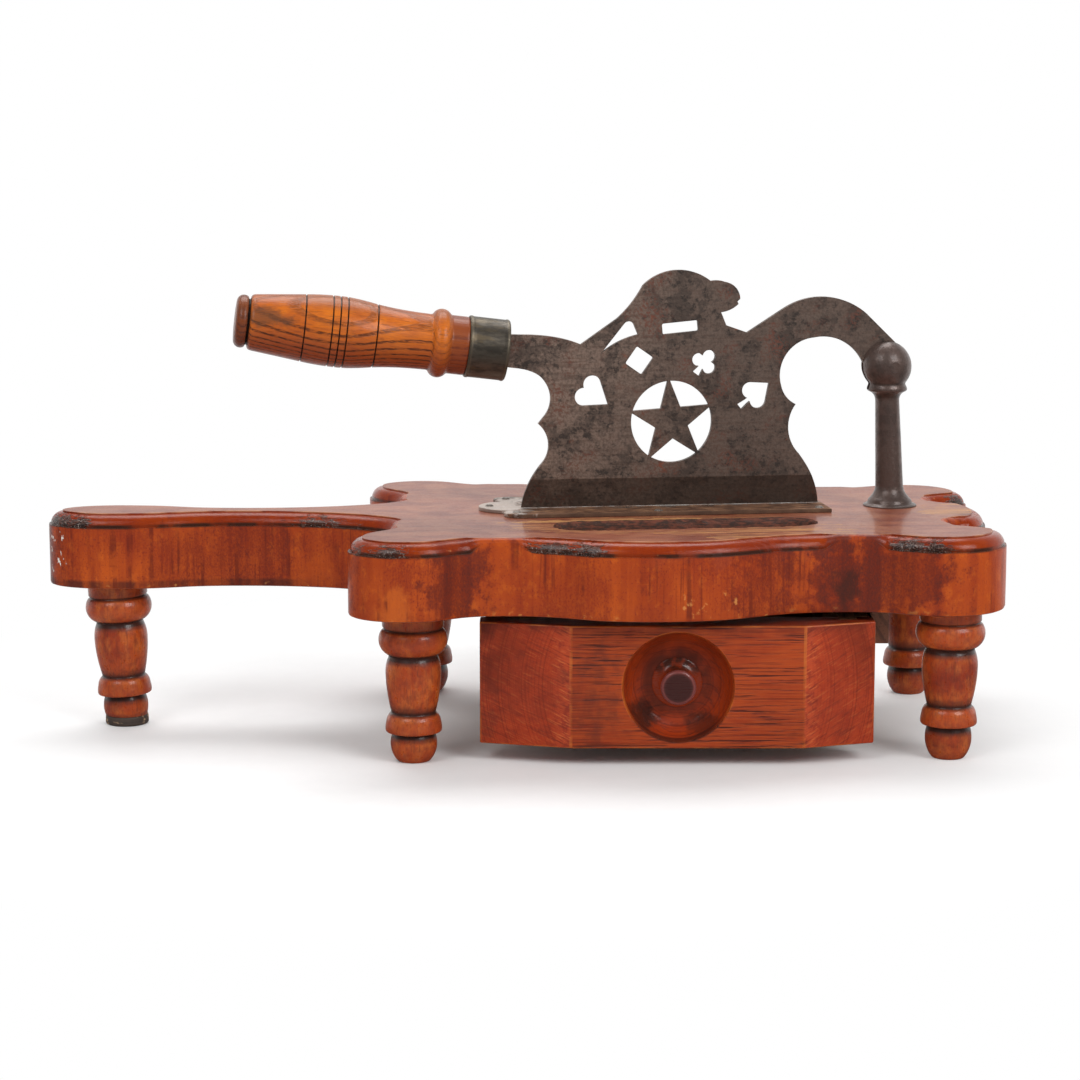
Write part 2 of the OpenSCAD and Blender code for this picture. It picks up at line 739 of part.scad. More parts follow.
// Two lobes whose flanks meet at a point: the body of the heart and of the spade
module lobed(r, half, tip) {
    flank = acos(r / norm([half, tip])) - 90 - atan2(half, tip);
    dip = acos(half / r);
    polygon(concat(
        [[0, -tip]],
        ring([half, 0], r, flank, 180 - dip - 4, 14),
        [[0, r * sin(dip) - 0.3]],
        ring([-half, 0], r, dip + 4, 180 - flank, 14)
    ));
}
module piercings() {
    translate(star_at)
        difference() {
            circle(r = star_r);
            polygon(star_line);
        }
    translate(heart_at)
        rotate(heart_turn)
            lobed(heart_r, heart_half, heart_tip);
    translate(diamond_at)
        rotate(diamond_turn)
            rounded([diamond_side, diamond_side]);
    translate(club_at)
        rotate(club_turn) {
            for (p = [[0, club_r + 0.5], [-club_r - 0.1, -0.6], [club_r + 0.1, -0.6]])
                translate(p)
                    circle(r = club_r, $fn = 40);
            polygon([[-1.2, club_r], [1.2, club_r], [stem_w / 2 + 0.6, -6.6], [-stem_w / 2 - 0.6, -6.6]]);
        }
    translate(spade_at)
        rotate(spade_turn) {
            rotate(180)
                translate([0, 0.6])
                    lobed(spade_r, spade_half, spade_tip);
            polygon([[-0.9, 0], [0.9, 0], [stem_w / 2 + 0.6, -9.2], [-stem_w / 2 - 0.6, -9.2]]);
        }
    translate(bar_at)
        rotate(bar_turn)
            rounded(bar_size);
    polygon(tear_shape);
}

// Grip turning, as radius and distance from the mouth of the ferrule
grip_r = grip_d / 2;
bore_r = ferrule_d / 2 - ferrule_wall;
tenon_r = bore_r - seat_gap;
grip_start = ferrule_len + seat_gap;
grip_end = ferrule_len + grip_len;
butt_r = 12.2;
groove_r = 10.4;
neck_grip_r = 13.6;
grip_bead_r = 16;
waist_r = 13;
tail_grip_r = 12.9;
butt_l = 5.6;
belly_at = grip_start + 50;
button_at = grip_end - butt_l;
grip_line = concat(
    [[0, tang_seat + seat_gap], [tenon_r, tang_seat + seat_gap], [tenon_r, grip_start]],
    [[neck_grip_r - 0.3, grip_start], [neck_grip_r, grip_start + 0.4], [neck_grip_r, grip_start + 8]],
    arc3(
        [neck_grip_r, grip_start + 8.4],
        [grip_bead_r, grip_start + 12.4],
        [waist_r + 0.9, grip_start + 16.6],
        9
    ),
    bow3([waist_r, grip_start + 17], [waist_r + 0.1, grip_start + 28], [grip_r - 0.6, grip_start + 38], 8),
    bow3([grip_r - 0.6, grip_start + 38], [grip_r + 0.7, belly_at + 2], [grip_r - 1.5, belly_at + 20], 8),
    bow3([grip_r - 1.5, belly_at + 20], [grip_r - 2.9, button_at - 14], [tail_grip_r, button_at - 2], 8),
    [[tail_grip_r, button_at - 2], [groove_r, button_at - 1.6], [groove_r, button_at]],
    [[butt_r - 0.5, button_at + 0.2]],
    arc3([butt_r - 0.4, button_at + 0.3], [butt_r, button_at + 2.6], [butt_r - 2.4, grip_end - 0.4], 7),
    [[butt_r - 2.4, grip_end - 0.4], [0, grip_end]]
);
module on_handle() {
    at_pivot()
        translate([handle_root.x, 0, handle_root.y])
            rotate([0, handle_rise - 90, 0])
                children();
}

// Dish and knob turning, as radius and depth from the front face
dish_r = dish_d / 2;
dish_flat = 12;
dish_line = concat(
    [[0, -past], [dish_r, -past]],
    bow3([dish_r, 0], [dish_r - 2.2, dish_depth], [dish_flat, dish_depth], 9),
    [[dish_flat, dish_depth], [0, dish_depth]]
);
knob_r = knob_d / 2;
knob_base_r = 11.4;
knob_neck_r = 5.6;
knob_tenon_r = 4;
knob_tenon_len = 7;
knob_line = concat(
    [[0, -knob_tenon_len], [knob_tenon_r, -knob_tenon_len], [knob_tenon_r, 0]],
    [[knob_base_r, 0], [knob_base_r, 0.4]],
    bow3([knob_base_r - 0.2, 0.5], [knob_neck_r, 1.2], [knob_neck_r, knob_h * 0.52], 7),
    bow3([knob_neck_r, knob_h * 0.52], [knob_neck_r + 0.4, knob_h - 3.6], [knob_r - 0.3, knob_h - 2.6], 5),
    arc3([knob_r - 0.2, knob_h - 2.5], [knob_r, knob_h - 1.3], [knob_r - 0.7, knob_h - 0.3], 5),
    [[knob_r - 0.7, knob_h - 0.3], [knob_r - 1.6, knob_h], [0, knob_h]]
);
dish_z = (drawer_top + drawer_low) / 2;
module at_dish() {
    translate([drawer_x, face_y, dish_z])
        rotate([-90, 0, 0])
            children();
}

// Hole for a leg's tenon, in the frame of the leg
mortise_spare = 0.5;
module mortise() {
    translate([0, 0, leg_len - past])
        cylinder(d = leg_tenon_d + 2 * seat_gap, h = leg_tenon_len + mortise_spare + past);
}

// Board with a stopped ovolo, leg mortises, drop slot and the holes that its fittings need
module base_board() {
    color(wood)
        difference() {
            translate([0, 0, board_z])
                polyhedron(points = board_points, faces = board_faces, convexity = 6);
            for (p = leg_places)
                translate([p.x, p.y, 0])
                    mortise();
            at_tongue_leg()
                mortise();
            at_cut() {
                translate([0, 0, board_z - past]) {
                    cylinder(r = stud_d / 2 + stud_gap, h = board_t + 2 * past);
                    cylinder(r = recess_r, h = recess_h + past);
                }
                translate([-slot_at, -slot_front, board_z - past]) {
                    translate([-slot_straight / 2, -slot_w / 2, 0])
                        cube([slot_straight, slot_w, board_t + 2 * past]);
                    for (side = sides)
                        translate([side * slot_straight / 2, 0, 0])
                            cylinder(d = slot_w, h = board_t + 2 * past);
                }
            }
            all_runner_screws(nail_gap);
            all_plate_nails(nail_gap);
        }
}

module leg_front_left() {
    color(wood)
        turned_leg(leg_places[0]);
}
module leg_back_left() {
    color(wood)
        turned_leg(leg_places[1]);
}
module leg_front_right() {
    color(wood)
        turned_leg(leg_places[2]);
}
module leg_back_right() {
    color(wood)
        turned_leg(leg_places[3]);
}
// The tongue leg leans, so its turning runs on past the board and is cut level there and at its pad
module leg_tongue() {
    color(wood) {
        intersection() {
            at_tongue_leg()
                rotate_extrude()
                    polygon(concat(leg_line, [[cap_r, leg_len + past], [0, leg_len + past]]));
            translate([tongue_leg_x - 2 * leg_bead_r, -2 * leg_bead_r, pad_t])
                cube([4 * leg_bead_r, 4 * leg_bead_r, leg_len - pad_t]);
        }
        at_tongue_leg()
            translate([0, 0, leg_len - past])
                cylinder(d = leg_tenon_d, h = leg_tenon_len + past);
    }
}
module foot_pad() {
    color(dark_wood)
        translate([pad_x, 0, 0])
            cylinder(d = pad_d, h = pad_t);
}

module bed_plate() {
    color(steel)
        difference() {
            at_cut()
                translate([0, plate_back, top_z])
                    linear_extrude(plate_t) {
                        translate([side_lobe_x, -plate_w / 2])
                            square([-plate_in - side_lobe_x, plate_w]);
                        translate([lobe_x, 0])
                            circle(r = lobe_r);
                        for (side = sides)
                            translate([side_lobe_x, side * side_lobe_y])
                                circle(r = side_lobe_r);
                    }
            all_plate_nails(nail_gap);
        }
}
module plate_nails() {
    color(steel) {
        all_plate_nails();
        at_cut()
            translate([0, plate_back, plate_top])
                for (p = plate_nail_places)
                    translate([p.x, p.y, 0])
                        cylinder(r1 = plate_head_r, r2 = plate_crown_r, h = plate_head_t);
    }
}

// Pierced plate with one ground bevel, whose cutter runs past both ends of the edge
bevel_past = 20;
module blade() {
    color(steel)
        at_pivot()
            difference() {
                rotate([90, 0, 0])
                    linear_extrude(blade_t, center = true)
                        difference() {
                            polygon(blade_line);
                            piercings();
                        }
                translate([toe.x - bevel_past, 0, 0])
                    rotate([90, 0, 90])
                        linear_extrude(edge_len + 2 * bevel_past)
                            polygon([
                                [-blade_t / 2, edge_y + bevel_h],
                                [blade_t / 2 - edge_land, edge_y],
                                [blade_t / 2 - edge_land, edge_y - past],
                                [-blade_t, edge_y - past],
                                [-blade_t, edge_y + bevel_h],
                            ]);
                rotate([90, 0, 0])
                    cylinder(r = pin_d / 2 + pin_gap, h = blade_t + 2 * past, center = true);
            }
}
module handle_ferrule() {
    color([0.45, 0.33, 0.18])
        on_handle()
            difference() {
                cylinder(d = ferrule_d, h = ferrule_len);
                translate([0, 0, -past])
                    cylinder(r = bore_r, h = ferrule_len + 2 * past);
            }
}
module handle_grip() {
    color(wood)
        on_handle()
            difference() {
                rotate_extrude()
                    polygon(grip_line);
                translate([-tang_half - seat_gap, -blade_t / 2 - seat_gap, 0])
                    cube([2 * (tang_half + seat_gap), blade_t + 2 * seat_gap, tang_len + seat_gap]);
            }
}

module pivot_post() {
    color(steel)
        at_cut()
            translate([0, 0, top_z])
                difference() {
                    union() {
                        rotate_extrude()
                            polygon(post_line);
                        translate([0, 0, pivot_h])
                            sphere(d = ball_d);
                    }
                    translate([-ball_d, -fork_gap / 2, fork_low])
                        cube([2 * ball_d, fork_gap, ball_d + eye_r]);
                    translate([0, 0, pivot_h])
                        rotate([90, 0, 0])
                            cylinder(r = pin_d / 2 + nail_gap, h = ball_d + 2 * past, center = true);
                }
}
pin_short = 0.8;
module pivot_pin() {
    color(steel)
        at_pivot()
            rotate([90, 0, 0])
                cylinder(d = pin_d, h = ball_d - pin_short, center = true);
}
module post_washer() {
    color(steel)
        at_cut()
            translate([0, 0, recess_top - washer_t])
                difference() {
                    cylinder(r = washer_r, h = washer_t);
                    translate([0, 0, -past])
                        cylinder(r = stud_d / 2 + stud_gap, h = washer_t + 2 * past);
                }
}
module post_nut() {
    color(steel)
        at_cut()
            translate([0, 0, recess_top - washer_t - nut_h])
                difference() {
                    translate([-nut_w / 2, -nut_w / 2, 0])
                        cube([nut_w, nut_w, nut_h]);
                    translate([0, 0, -past])
                        cylinder(r = stud_d / 2 + nail_gap, h = nut_h + 2 * past);
                }
}

// L-shaped rail: an upright against the board and a ledge that carries the cleat
runner_front_y = front_back_y + run_gap;
runner_len = runner_back_y - runner_front_y;
ledge_w = web_in - side_out - ledge_play;
module runner(side) {
    color(pale_wood)
        difference() {
            translate([box_x, runner_front_y, runner_low])
                mirror([side < 0 ? 1 : 0, 0, 0]) {
                    translate([web_in, 0, 0])
                        cube([runner_t, runner_len, runner_h]);
                    translate([side_out + ledge_play, 0, 0])
                        cube([ledge_w + past, runner_len, ledge_t]);
                }
            all_runner_screws(nail_gap);
        }
}
module runner_left() {
    runner(-1);
}
module runner_right() {
    runner(1);
}
module runner_screws() {
    color(steel)
        difference() {
            all_runner_screws();
            for (side = sides)
                for (y = runner_screw_places)
                    translate([runner_screw_x(side), y, runner_low])
                        cube([2 * (screw_head_r + past), screw_slot, 2 * screw_slot_depth], center = true);
        }
}

// Left face of a board of the drawer, from the distance of its middle and its thickness
function middle_x(side, out, thick) = box_x + side * out - thick / 2;

// Faceted front, with housings for the sides, a groove for the bottom and the turned dish
module drawer_front() {
    color(wood)
        difference() {
            translate([0, 0, drawer_low])
                linear_extrude(drawer_h)
                    polygon([
                        [drawer_x - drawer_w / 2, front_back_y],
                        [drawer_x - drawer_w / 2, front_back_y - front_end_t],
                        [drawer_x + facet_shift - facet_w / 2, face_y],
                        [drawer_x + facet_shift + facet_w / 2, face_y],
                        [drawer_x + drawer_w / 2, front_back_y - front_end_t],
                        [drawer_x + drawer_w / 2, front_back_y],
                    ]);
            at_dish() {
                rotate_extrude()
                    polygon(dish_line);
                cylinder(r = knob_tenon_r + seat_gap, h = dish_depth + knob_tenon_len + seat_gap);
            }
            for (side = sides)
                translate([
                    middle_x(side, side_out - side_t / 2, side_t) - seat_gap,
                    side_front_y - seat_gap,
                    box_low - seat_gap,
                ])
                    cube([side_t + 2 * seat_gap, housing + past, drawer_h]);
            translate([box_x - side_inner - past, front_back_y - front_groove, bottom_low - seat_gap])
                cube([2 * (side_inner + past), front_groove + past, bottom_t + 2 * seat_gap]);
        }
}
module drawer_side(side) {
    color(pale_wood)
        difference() {
            translate([middle_x(side, side_out - side_t / 2, side_t), side_front_y, box_low])
                cube([side_t, side_len, drawer_top - box_low]);
            translate([box_x - side_inner - groove, side_front_y - past, bottom_low - seat_gap])
                cube([2 * (side_inner + groove), side_len + 2 * past, bottom_t + 2 * seat_gap]);
            all_drawer_nails(nail_gap);
        }
}
module drawer_side_left() {
    drawer_side(-1);
}
module drawer_side_right() {
    drawer_side(1);
}
module drawer_back() {
    color(pale_wood)
        difference() {
            translate([box_x - side_inner + seat_gap, box_back_y - back_t, bottom_high + seat_gap])
                cube([2 * (side_inner - seat_gap), back_t, drawer_top - bottom_high - seat_gap]);
            all_drawer_nails(nail_gap);
        }
}
module drawer_bottom() {
    color(pale_wood)
        translate([
            box_x - side_inner - groove + seat_gap,
            front_back_y - front_groove + seat_gap,
            bottom_low,
        ])
            cube([2 * (side_inner + groove - seat_gap), drawer_depth + front_groove - seat_gap, bottom_t]);
}
module drawer_cleat(side) {
    color(pale_wood)
        difference() {
            translate([middle_x(side, side_out + cleat_t / 2, cleat_t), front_back_y + seat_gap, cleat_low])
                cube([cleat_t, drawer_depth - seat_gap, drawer_top - cleat_low]);
            all_drawer_nails(nail_gap);
        }
}
module drawer_cleat_left() {
    drawer_cleat(-1);
}
module drawer_cleat_right() {
    drawer_cleat(1);
}
module drawer_knob() {
    color(dark_wood)
        at_dish()
            translate([0, 0, dish_depth])
                mirror([0, 0, 1])
                    rotate_extrude()
                        polygon(knob_line);
}
module drawer_nails() {
    color(steel)
        all_drawer_nails();
}

base_board();
leg_front_left();
leg_front_right();
leg_back_left();
leg_back_right();
leg_tongue();
foot_pad();
bed_plate();
plate_nails();
blade();
handle_ferrule();
handle_grip();
pivot_post();
pivot_pin();
post_washer();
post_nut();
runner_left();
runner_right();
runner_screws();
drawer_front();
drawer_side_left();
drawer_side_right();
drawer_back();
drawer_bottom();
drawer_cleat_left();
drawer_cleat_right();
drawer_knob();
drawer_nails();
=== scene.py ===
# %% [markdown]
# # A tobacco cutter, dressed in Blender
# The construction model is loaded first and stays fixed. It says where every piece is and how it moves.
# Everything below works in its frame, in metres, with the floor at Z = 0 and the front of the cutter at -Y.
# The box round the construction model is kept, because the dressed cutter has to fill the same box.

# %% Load the fixed frame
import functools
import math

import bmesh
import bpy
from mathutils import Matrix, Vector, noise


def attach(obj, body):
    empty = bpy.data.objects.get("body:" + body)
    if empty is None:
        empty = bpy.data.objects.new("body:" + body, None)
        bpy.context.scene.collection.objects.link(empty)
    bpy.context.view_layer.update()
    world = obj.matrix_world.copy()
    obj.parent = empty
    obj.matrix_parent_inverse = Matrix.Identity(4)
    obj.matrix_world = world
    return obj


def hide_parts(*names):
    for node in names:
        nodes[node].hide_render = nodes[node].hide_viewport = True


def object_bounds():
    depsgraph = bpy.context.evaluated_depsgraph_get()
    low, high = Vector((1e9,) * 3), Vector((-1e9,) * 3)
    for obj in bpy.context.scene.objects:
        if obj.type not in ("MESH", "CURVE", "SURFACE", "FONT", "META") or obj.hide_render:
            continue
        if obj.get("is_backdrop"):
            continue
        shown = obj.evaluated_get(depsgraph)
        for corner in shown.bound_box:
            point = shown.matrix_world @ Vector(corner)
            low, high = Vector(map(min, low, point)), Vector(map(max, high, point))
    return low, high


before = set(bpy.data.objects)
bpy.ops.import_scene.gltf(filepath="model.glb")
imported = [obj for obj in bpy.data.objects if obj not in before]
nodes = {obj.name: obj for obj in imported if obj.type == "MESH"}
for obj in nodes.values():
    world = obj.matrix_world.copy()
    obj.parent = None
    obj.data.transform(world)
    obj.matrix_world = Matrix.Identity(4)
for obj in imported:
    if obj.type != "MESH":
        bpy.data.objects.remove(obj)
cad_low, cad_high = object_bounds()
scene = bpy.context.scene
MM = 0.001
print("pieces in the frame:", len(nodes))

# %% [markdown]
# ## Camera
# The photograph was taken from the front with a long lens, looking down a little. The focal length is
# given in pixels of a square picture, because that is how it was found from the legs and the board.
# The view transform is Standard, so a colour comes out about as it is written.

# %% Camera
PHOTO_SIDE = 1080
FOCAL_PIXELS = 2793.7
LOOK_DOWN = 9.076
CAMERA_PLACE = (0.0108, -1.3041, 0.2966)
scene.view_settings.view_transform = "Standard"
lens = bpy.data.cameras.new("photo_camera")
lens.sensor_width = 36
lens.lens = lens.sensor_width * FOCAL_PIXELS / PHOTO_SIDE
camera = bpy.data.objects.new("photo_camera", lens)
camera.location = CAMERA_PLACE
camera.rotation_euler = (math.radians(90 - LOOK_DOWN), 0, 0)
scene.collection.objects.link(camera)
scene.camera = camera
print("lens", round(lens.lens, 2), "mm")

# %% [markdown]
# ## Wiring shader nodes
# A finish is a small tree of nodes. A helper that adds a node and joins its sockets in one line lets each
# finish below read from top to bottom, the way a finisher works: bare wood, stain, varnish, then wear.

# %% A helper for node trees
class Wiring:
    """Adds shader nodes to one tree and joins them."""

    def __init__(self, tree):
        self.tree = tree

    def feed(self, socket, value):
        if isinstance(value, bpy.types.NodeSocket):
            self.tree.links.new(value, socket)
        elif socket.type == "RGBA" and len(value) == 3:
            socket.default_value = (*value, 1)
        else:
            socket.default_value = value

    def set(self, node, **inputs):
        for name, value in inputs.items():
            self.feed(node.inputs[name.replace("_", " ")], value)

    def add(self, kind, settings=None, **inputs):
        node = self.tree.nodes.new("ShaderNode" + kind)
        for name, value in (settings or {}).items():
            setattr(node, name, value)
        self.set(node, **inputs)
        return node

    def math(self, how, a, b):
        node = self.add("Math", {"operation": how, "use_clamp": True})
        self.feed(node.inputs[0], a)
        self.feed(node.inputs[1], b)
        return node.outputs[0]

    def free_math(self, how, a, b=0.0):
        value = self.math(how, a, b)
        value.node.use_clamp = False
        return value

    def times(self, a, b):
        return self.math("MULTIPLY", a, b)

    def most(self, a, b):
        return self.math("MAXIMUM", a, b)

    def plus(self, a, b):
        return self.free_math("ADD", a, b)

    def less(self, a, b):
        return self.free_math("SUBTRACT", a, b)

    def scaled(self, a, b):
        return self.free_math("MULTIPLY", a, b)

    def total(self, *terms):
        """The sum of values, each times its weight."""
        return functools.reduce(self.plus, [self.scaled(value, weight) for value, weight in terms])

    def vector(self, how, a, b=(0, 0, 0)):
        node = self.add("VectorMath", {"operation": how})
        self.feed(node.inputs[0], a)
        self.feed(node.inputs[1], b)
        return node.outputs["Value" if how == "LENGTH" else "Vector"]

    def stretched(self, place, scales):
        return self.vector("MULTIPLY", place, scales)

    def turned(self, place, turns):
        return self.add("Mapping", Vector=place, Rotation=turns).outputs[0]

    def axis(self, place, name):
        return self.add("SeparateXYZ", Vector=place).outputs[name]

    def grade(self, value, low, high, to_low=0.0, to_high=1.0):
        node = self.add("MapRange", {"interpolation_type": "SMOOTHSTEP"}, Value=value)
        for name, number in zip(("From Min", "From Max", "To Min", "To Max"), (low, high, to_low, to_high)):
            self.feed(node.inputs[name], number)
        return node.outputs["Result"]

    def band(self, value, middle, half, soft):
        """1 within half of middle, falling to 0 over soft."""
        away = self.free_math("ABSOLUTE", self.less(value, middle))
        return self.grade(away, half, half + soft, 1.0, 0.0)

    def blend(self, share, a, b, how="MIX"):
        node = self.add("Mix", {"data_type": "RGBA", "blend_type": how})
        self.feed(node.inputs[0], share)
        self.feed(node.inputs[6], a)
        self.feed(node.inputs[7], b)
        return node.outputs[2]

    def coats(self, share, a, b):
        return Coats(self, self.blend(share, a, b))

    def noise(self, place, scales, detail=3.0, rough=0.55):
        place = self.stretched(place, scales)
        return self.add("TexNoise", Vector=place, Scale=1.0, Detail=detail, Roughness=rough).outputs[0]

    def attribute(self, name):
        return self.add("Attribute", {"attribute_name": name}).outputs["Fac"]

    def effect(self, name, **inputs):
        return self.add("Group", {"node_tree": bpy.data.node_groups[name]}, **inputs).outputs

    def spot(self, place, centre, reach):
        return self.effect("Spot", Place=place, Centre=centre, Reach=reach)["Mask"]

    def spots(self, place, rows):
        """The strongest of several spots, each with its centre, its reach and its share."""
        masks = [self.times(self.spot(place, centre, reach), share) for centre, reach, share in rows]
        return functools.reduce(self.most, masks)

    def bump(self, height, distance, strength):
        return self.add("Bump", Height=height, Distance=distance, Strength=strength).outputs["Normal"]


def shared_effect(name, inputs, outputs):
    """An empty node group with named sockets: its wiring, its inputs and its outputs."""
    tree = bpy.data.node_groups.new(name, "ShaderNodeTree")
    for label, value in inputs.items():
        kind = "NodeSocketVector" if isinstance(value, tuple) else "NodeSocketFloat"
        tree.interface.new_socket(label, in_out="INPUT", socket_type=kind).default_value = value
    for label in outputs:
        tree.interface.new_socket(label, in_out="OUTPUT", socket_type="NodeSocketFloat")
    return Wiring(tree), tree.nodes.new("NodeGroupInput").outputs, tree.nodes.new("NodeGroupOutput").inputs


class Coats:
    """A colour built up in coats. Each is laid over the ones before it, by its share."""

    def __init__(self, wiring, colour):
        self.wiring = wiring
        self.colour = colour

    def lay(self, share, colour):
        self.colour = self.wiring.blend(share, self.colour, colour)


class Finish(Wiring):
    """The wiring of a new material, with the place of a point on its piece."""

    def __init__(self, name):
        self.material = bpy.data.materials.new(name)
        self.material.use_nodes = True
        super().__init__(self.material.node_tree)
        self.shader = self.tree.nodes["Principled BSDF"]
        self.place = self.add("TexCoord").outputs["Object"]

    def surface(self, **inputs):
        self.set(self.shader, **inputs)
        print("finish:", self.material.name)
        return self.material


print("wiring ready")

# %% [markdown]
# ## Stage and light
# The cutter stands on a white table in front of a white wall. A flat disc does for the table: close to the
# cutter it is a plain pale surface that takes the shadow, and further out it goes over to the white of the
# background, so that no edge shows from any side. The room is white behind the cutter and dim behind the
# camera, which is what gives the top of the board its pale sheen and leaves the front its full colour.

# %% Floor
FLOOR_REACH = 5.0
FLOOR_WHITE_FROM, FLOOR_WHITE_AT = 0.14, 0.36
DIM_SIDE = 0.06


def write_back(shaper, mesh):
    """Ends an edit by writing it to its mesh."""
    shaper.to_mesh(mesh)
    shaper.free()
    return mesh


shaper = bmesh.new()
bmesh.ops.create_circle(shaper, cap_ends=True, segments=96, radius=FLOOR_REACH)
floor = bpy.data.objects.new("floor", write_back(shaper, bpy.data.meshes.new("floor")))
scene.collection.objects.link(floor)
floor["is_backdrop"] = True

w = Finish("white_table")
path = w.add("LightPath").outputs
paper = w.blend(w.noise(w.place, (90, 90, 90), 2.0), (0.86, 0.86, 0.86), (0.90, 0.90, 0.90))
behind = w.grade(w.axis(w.place, "Y"), -0.10, 0.35, DIM_SIDE, 1.0)
mirrored = w.free_math("MAXIMUM", behind, w.math("SUBTRACT", 1.0, path["Is Glossy Ray"]))
table = w.blend(1.0, paper, mirrored, "MULTIPLY")
floor.data.materials.append(w.surface(Base_Color=table, Roughness=0.6, Specular_IOR_Level=0.2))
far = w.grade(w.vector("LENGTH", w.place), FLOOR_WHITE_FROM, FLOOR_WHITE_AT)
seen = w.math("ADD", path["Is Camera Ray"], path["Is Glossy Ray"])
seen = w.math("ADD", seen, path["Is Transmission Ray"])
white = w.add("Emission", Color=(1, 1, 1), Strength=mirrored)
mixed = w.add("MixShader", Fac=w.times(far, seen))
w.feed(mixed.inputs[1], w.shader.outputs[0])
w.feed(mixed.inputs[2], white.outputs[0])
w.feed(w.tree.nodes["Material Output"].inputs["Surface"], mixed.outputs[0])

# %% Room
ROOM_LIGHT = 0.52
room = bpy.data.worlds.new("white_room")
room.use_nodes = True
scene.world = room
w = Wiring(room.node_tree)
path = w.add("LightPath").outputs
facing = w.add("TexCoord").outputs["Generated"]
mirrored = w.grade(w.axis(facing, "Y"), -0.3, 0.6, DIM_SIDE, 1.0)
mirrored = w.scaled(mirrored, w.grade(w.axis(facing, "Z"), 0.25, 0.75, 1.0, 0.4))
glow = w.add("Mix", {"data_type": "FLOAT"})
w.feed(glow.inputs[0], path["Is Glossy Ray"])
w.feed(glow.inputs[2], ROOM_LIGHT)
w.feed(glow.inputs[3], mirrored)
clear = w.math("ADD", path["Is Camera Ray"], path["Is Transmission Ray"])
level = w.free_math("MAXIMUM", glow.outputs[0], clear)
w.set(w.tree.nodes["Background"], Color=(1, 1, 1), Strength=level)
print("floor reaches", FLOOR_REACH, "m, room light", ROOM_LIGHT)

# %% Lamps
def softbox(name, place, target, wide, high, watts):
    """A rectangular lamp as a studio softbox, turned to a point."""
    light = bpy.data.lights.new(name, "AREA")
    light.shape = "RECTANGLE"
    light.size, light.size_y, light.energy = wide, high, watts
    lamp = bpy.data.objects.new(name, light)
    lamp.location = place
    lamp.rotation_euler = (Vector(target) - Vector(place)).to_track_quat("-Z", "Y").to_euler()
    scene.collection.objects.link(lamp)
    return lamp


lamps = [
    softbox("lamp_above", (-0.10, 0.60, 1.40), (0, 0, 0.05), 1.3, 0.8, 14),
    softbox("lamp_left", (-0.95, -1.30, 1.45), (0, 0, 0.08), 0.9, 0.9, 11),
    softbox("lamp_right", (1.15, -1.20, 1.20), (0, 0, 0.08), 0.9, 0.9, 18),
]
print("lamps:", ", ".join(lamp.name for lamp in lamps))

# %% [markdown]
# ## Shared effects
# Four effects come back in many finishes, so each is a node group that is built once.
# *Timber grain* gives rings, pores and fibres of a solid piece of wood with its length along X.
# *Blotches* gives uneven patches, as stain and old varnish have. *Spot* is a soft patch at one place, for
# wear that the photograph shows there. *Iron patina* gives the mottling, rust and pits of old iron.

# %% Timber grain
ORIGIN = (0.0, 0.0, 0.0)
w, given, out = shared_effect(
    "Timber grain",
    {"Along": ORIGIN, "Ring Pitch": 0.006, "Wander": 0.006, "Pith": ORIGIN},
    ("Rings", "Pores", "Fibre"),
)
sway = w.add("TexNoise", Vector=w.stretched(given["Along"], (9, 30, 30)), Scale=1.0, Detail=2.0)
swayed = w.vector("SUBTRACT", sway.outputs["Color"], (0.5, 0.5, 0.5))
bent = w.vector("ADD", given["Along"], w.stretched(swayed, given["Wander"]))
bent = w.vector("SUBTRACT", bent, given["Pith"])
radius = w.vector("LENGTH", w.stretched(bent, (0, 1, 1)))
phase = w.free_math("FRACT", w.free_math("DIVIDE", radius, given["Ring Pitch"]))
dashes = w.noise(bent, (95, 1150, 1150), 2.0, 0.5)
w.feed(out["Rings"], w.times(w.grade(phase, 0.35, 0.88), w.grade(phase, 0.9, 1.0, 1.0, 0.0)))
w.feed(out["Pores"], w.grade(dashes, 0.57, 0.68))
w.feed(out["Fibre"], w.noise(bent, (55, 1900, 1900), 3.0, 0.6))
print("effect:", w.tree.name)

# %% Blotches and spots
w, given, out = shared_effect(
    "Blotches", {"Place": ORIGIN, "Size": 0.02, "Spread": 0.5, "Soft": 0.12}, ("Mask", "Tone")
)
cloud = w.noise(given["Place"], w.free_math("DIVIDE", 1.0, given["Size"]), 5.0, 0.62)
level = w.less(1.0, given["Spread"])
rise = w.free_math("DIVIDE", w.less(cloud, level), given["Soft"])
w.feed(out["Mask"], w.grade(rise, -0.5, 0.5))
w.feed(out["Tone"], cloud)
print("effect:", w.tree.name)

w, given, out = shared_effect(
    "Spot", {"Place": ORIGIN, "Centre": ORIGIN, "Reach": (0.01, 0.01, 0.01)}, ("Mask",)
)
away = w.vector("DIVIDE", w.vector("SUBTRACT", given["Place"], given["Centre"]), given["Reach"])
ragged = w.noise(given["Place"], (160, 160, 160), 4.0, 0.6)
shift = w.grade(ragged, 0.25, 0.75, -0.35, 0.35)
w.feed(out["Mask"], w.grade(w.plus(w.vector("LENGTH", away), shift), 0.35, 1.0, 1.0, 0.0))
print("effect:", w.tree.name)

